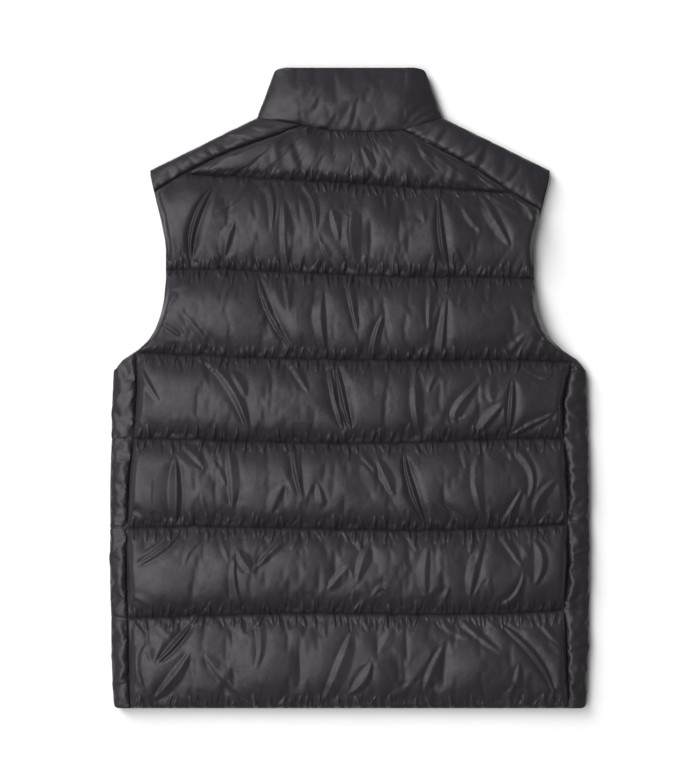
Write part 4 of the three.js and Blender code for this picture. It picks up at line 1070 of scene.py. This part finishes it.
# Materials
class Surface:
    """A material in the making: its nodes, and the textures on its object's own place."""

    def __init__(self, name, color, roughness, metallic=0.0, specular=0.5):
        self.mat = bpy.data.materials.new(name)
        self.mat.use_nodes = True
        self.tree = self.mat.node_tree
        self.sockets = self.tree.nodes["Principled BSDF"].inputs
        self.sockets["Base Color"].default_value = (*color, 1)
        self.sockets["Roughness"].default_value = roughness
        self.sockets["Metallic"].default_value = metallic
        self.sockets["Specular IOR Level"].default_value = specular
        self.place = self.tree.nodes.new("ShaderNodeTexCoord").outputs["Object"]

    def link(self, output, socket):
        self.tree.links.new(output, socket)

    def node(self, kind, **values):
        made = self.tree.nodes.new(kind)
        for key, value in values.items():
            if key in made.inputs:
                made.inputs[key].default_value = value
            else:
                setattr(made, key, value)
        return made

    def texture(self, kind, place=None, **values):
        made = self.node(f"ShaderNodeTex{kind}", **values)
        self.link(self.place if place is None else place, made.inputs["Vector"])
        return made.outputs["Fac"]

    def weave(self, yarns):
        """A plain weave's height, from two rows of waves across each other."""
        both = self.node("ShaderNodeMath", operation="MAXIMUM")
        for socket, direction in zip(both.inputs, "XY"):
            self.link(self.texture("Wave", Scale=yarns, bands_direction=direction), socket)
        return both.outputs[0]

    def ramp(self, factor, socket, *stops):
        """A socket's value between two stops of a factor."""
        made = self.node("ShaderNodeValToRGB")
        for element, (position, color) in zip(made.color_ramp.elements, stops):
            element.position = position
            element.color = (*color, 1)
        self.link(factor, made.inputs["Fac"])
        self.link(made.outputs["Color"], self.sockets[socket])

    def bump(self, height, strength, distance):
        """A bump over those that were made before it."""
        made = self.node("ShaderNodeBump", Strength=strength, Distance=distance)
        self.link(height, made.inputs["Height"])
        if self.sockets["Normal"].is_linked:
            self.link(self.sockets["Normal"].links[0].from_socket, made.inputs["Normal"])
        self.link(made.outputs["Normal"], self.sockets["Normal"])


def grey(level):
    return (level, level, level)


def nylon():
    made = Surface("shell_nylon_satin", (0.0165, 0.0137, 0.0178), 0.42, specular=0.35)
    crinkle = made.texture("Noise", Scale=90, Detail=5, Roughness=0.55)
    patches = made.texture("Noise", Scale=9, Detail=4, Roughness=0.6)
    made.bump(crinkle, 0.35, 0.0012)
    made.bump(made.weave(620), 0.12, 0.00012)
    made.ramp(patches, "Base Color", (0.3, (0.0152, 0.0126, 0.0164)), (0.72, (0.0178, 0.0148, 0.0192)))
    made.ramp(crinkle, "Roughness", (0.35, grey(0.34)), (0.65, grey(0.44)))
    made.sockets["Sheen Weight"].default_value = 0.06
    made.sockets["Sheen Roughness"].default_value = 0.4
    return made.mat


def thread():
    made = Surface("stitching_thread", (0.012, 0.011, 0.012), 0.7, specular=0.2)
    twist = made.texture("Wave", Scale=900, Distortion=1, bands_direction="DIAGONAL")
    made.bump(twist, 0.4, 0.0002)
    made.ramp(twist, "Base Color", (0.2, (0.008, 0.008, 0.009)), (0.8, (0.018, 0.017, 0.018)))
    return made.mat


def tape():
    made = Surface("zip_tape_weave", (0.018, 0.017, 0.019), 0.85)
    weave = made.weave(420)
    made.bump(weave, 0.6, 0.0004)
    made.ramp(weave, "Base Color", (0.2, (0.012, 0.0115, 0.013)), (0.9, (0.024, 0.023, 0.025)))
    return made.mat


def moulded():
    made = Surface("zip_plastic", (0.014, 0.013, 0.015), 0.34)
    grain = made.texture("Noise", Scale=900, Detail=3)
    made.bump(grain, 0.2, 0.0002)
    made.ramp(grain, "Roughness", (0.3, grey(0.28)), (0.7, grey(0.42)))
    return made.mat


def plated():
    made = Surface("zip_dark_metal", (0.1, 0.1, 0.105), 0.3, metallic=1.0)
    stretched = made.node("ShaderNodeMapping", Scale=(1400, 60, 1400))
    made.link(made.place, stretched.inputs["Vector"])
    brush = made.texture("Noise", stretched.outputs["Vector"], Scale=1, Detail=3)
    made.bump(brush, 0.15, 0.0001)
    made.ramp(brush, "Roughness", (0.3, grey(0.24)), (0.7, grey(0.42)))
    made.ramp(brush, "Base Color", (0.3, (0.085, 0.085, 0.09)), (0.7, (0.12, 0.12, 0.126)))
    return made.mat


def paper():
    """The floor: a little darker towards the key light, so that it looks evenly white."""
    made = Surface("floor_paper", grey(0.9), 0.9, specular=0.1)
    made.bump(made.texture("Noise", Scale=300, Detail=4), 0.05, 0.0003)
    slant = made.node("ShaderNodeVectorMath", operation="DOT_PRODUCT")
    slant.inputs[1].default_value = (0.875, -0.354, 0)
    made.link(made.place, slant.inputs[0])
    shifted = made.node("ShaderNodeMath", operation="ADD")
    shifted.inputs[1].default_value = 0.48
    made.link(slant.outputs["Value"], shifted.inputs[0])
    made.ramp(shifted.outputs[0], "Base Color", (0, grey(0.66)), (1, grey(0.9)))
    return made.mat


def dress(obj, mat):
    obj.data.materials.clear()
    obj.data.materials.append(mat)


# The pieces
shell = nylon()
back_pieces, back_lines = make_back()
front_left, left_lines = make_front("left")
front_right, right_lines = make_front("right")
collar = make_collar()
padded = [(piece, "back_panel", 0.6) for piece in back_pieces]
padded += [(front_left, "front_left", 0.5), (front_right, "front_right", 0.5), (collar, "collar", 0.5)]
for obj, cad_node, fill in padded:
    dress(obj, shell)
    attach(obj, BODY)
    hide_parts(cad_node)

lifted_lines = [(line, STITCH_LIFTS["back"]) for line in back_lines]
lifted_lines += [(line, STITCH_LIFTS["front"]) for line in left_lines + right_lines]
stitches = make_stitches(lifted_lines)
shade(stitches, 40)
dress(stitches, thread())
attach(stitches, BODY)

teeth = make_teeth()
shade(teeth, 40)
plastic = moulded()
dress(teeth, plastic)
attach(teeth, BODY)
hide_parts("zip_chain")

metal = plated()
for cad_node, mat in (
    ("zip_tape_left", tape()), ("zip_tape_right", tape()), ("zip_box", plastic),
    ("zip_slider", metal), ("zip_pull", metal),
):
    dress(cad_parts[cad_node], mat)

# Floor, light and camera, in metres
FLOOR_Z = -0.0003
FLOOR_SIZE = 8
CAMERA_Z = 2.25
PHOTO_WIDTH = 0.8045
WORLD_STRENGTH = 0.25
bpy.ops.mesh.primitive_plane_add(size=FLOOR_SIZE, location=(0, 0, FLOOR_Z))
floor = bpy.context.object
floor.name = "floor"
dress(floor, paper())


def area_light(name, place, size, power):
    light = bpy.data.lights.new(name, "AREA")
    light.shape = "RECTANGLE"
    light.size, light.size_y = size
    light.energy = power
    obj = bpy.data.objects.new(name, light)
    obj.location = place
    obj.rotation_euler = (-Vector(place)).to_track_quat("-Z", "Y").to_euler()
    obj.visible_camera = False
    bpy.context.scene.collection.objects.link(obj)
    return obj


key = area_light("key", (-3.0, 3.0, 2.3), (3.2, 3.2), 300)
key.visible_glossy = False
area_light("overhead", (-0.8, -0.06, 2.0), (2.6, 1.2), 42)
world = bpy.data.worlds.new("studio")
bpy.context.scene.world = world
world.use_nodes = True
world.node_tree.nodes["Background"].inputs["Color"].default_value = (1, 1, 1, 1)
world.node_tree.nodes["Background"].inputs["Strength"].default_value = WORLD_STRENGTH
bpy.context.scene.view_settings.view_transform = "Standard"

camera = bpy.data.cameras.new("camera")
camera.sensor_fit = "HORIZONTAL"
camera.sensor_width = 36
camera.lens = camera.sensor_width * CAMERA_Z / PHOTO_WIDTH
eye = bpy.data.objects.new("camera", camera)
eye.location = (0, 0, CAMERA_Z)
bpy.context.scene.collection.objects.link(eye)
bpy.context.scene.camera = eye

bpy.context.view_layer.update()
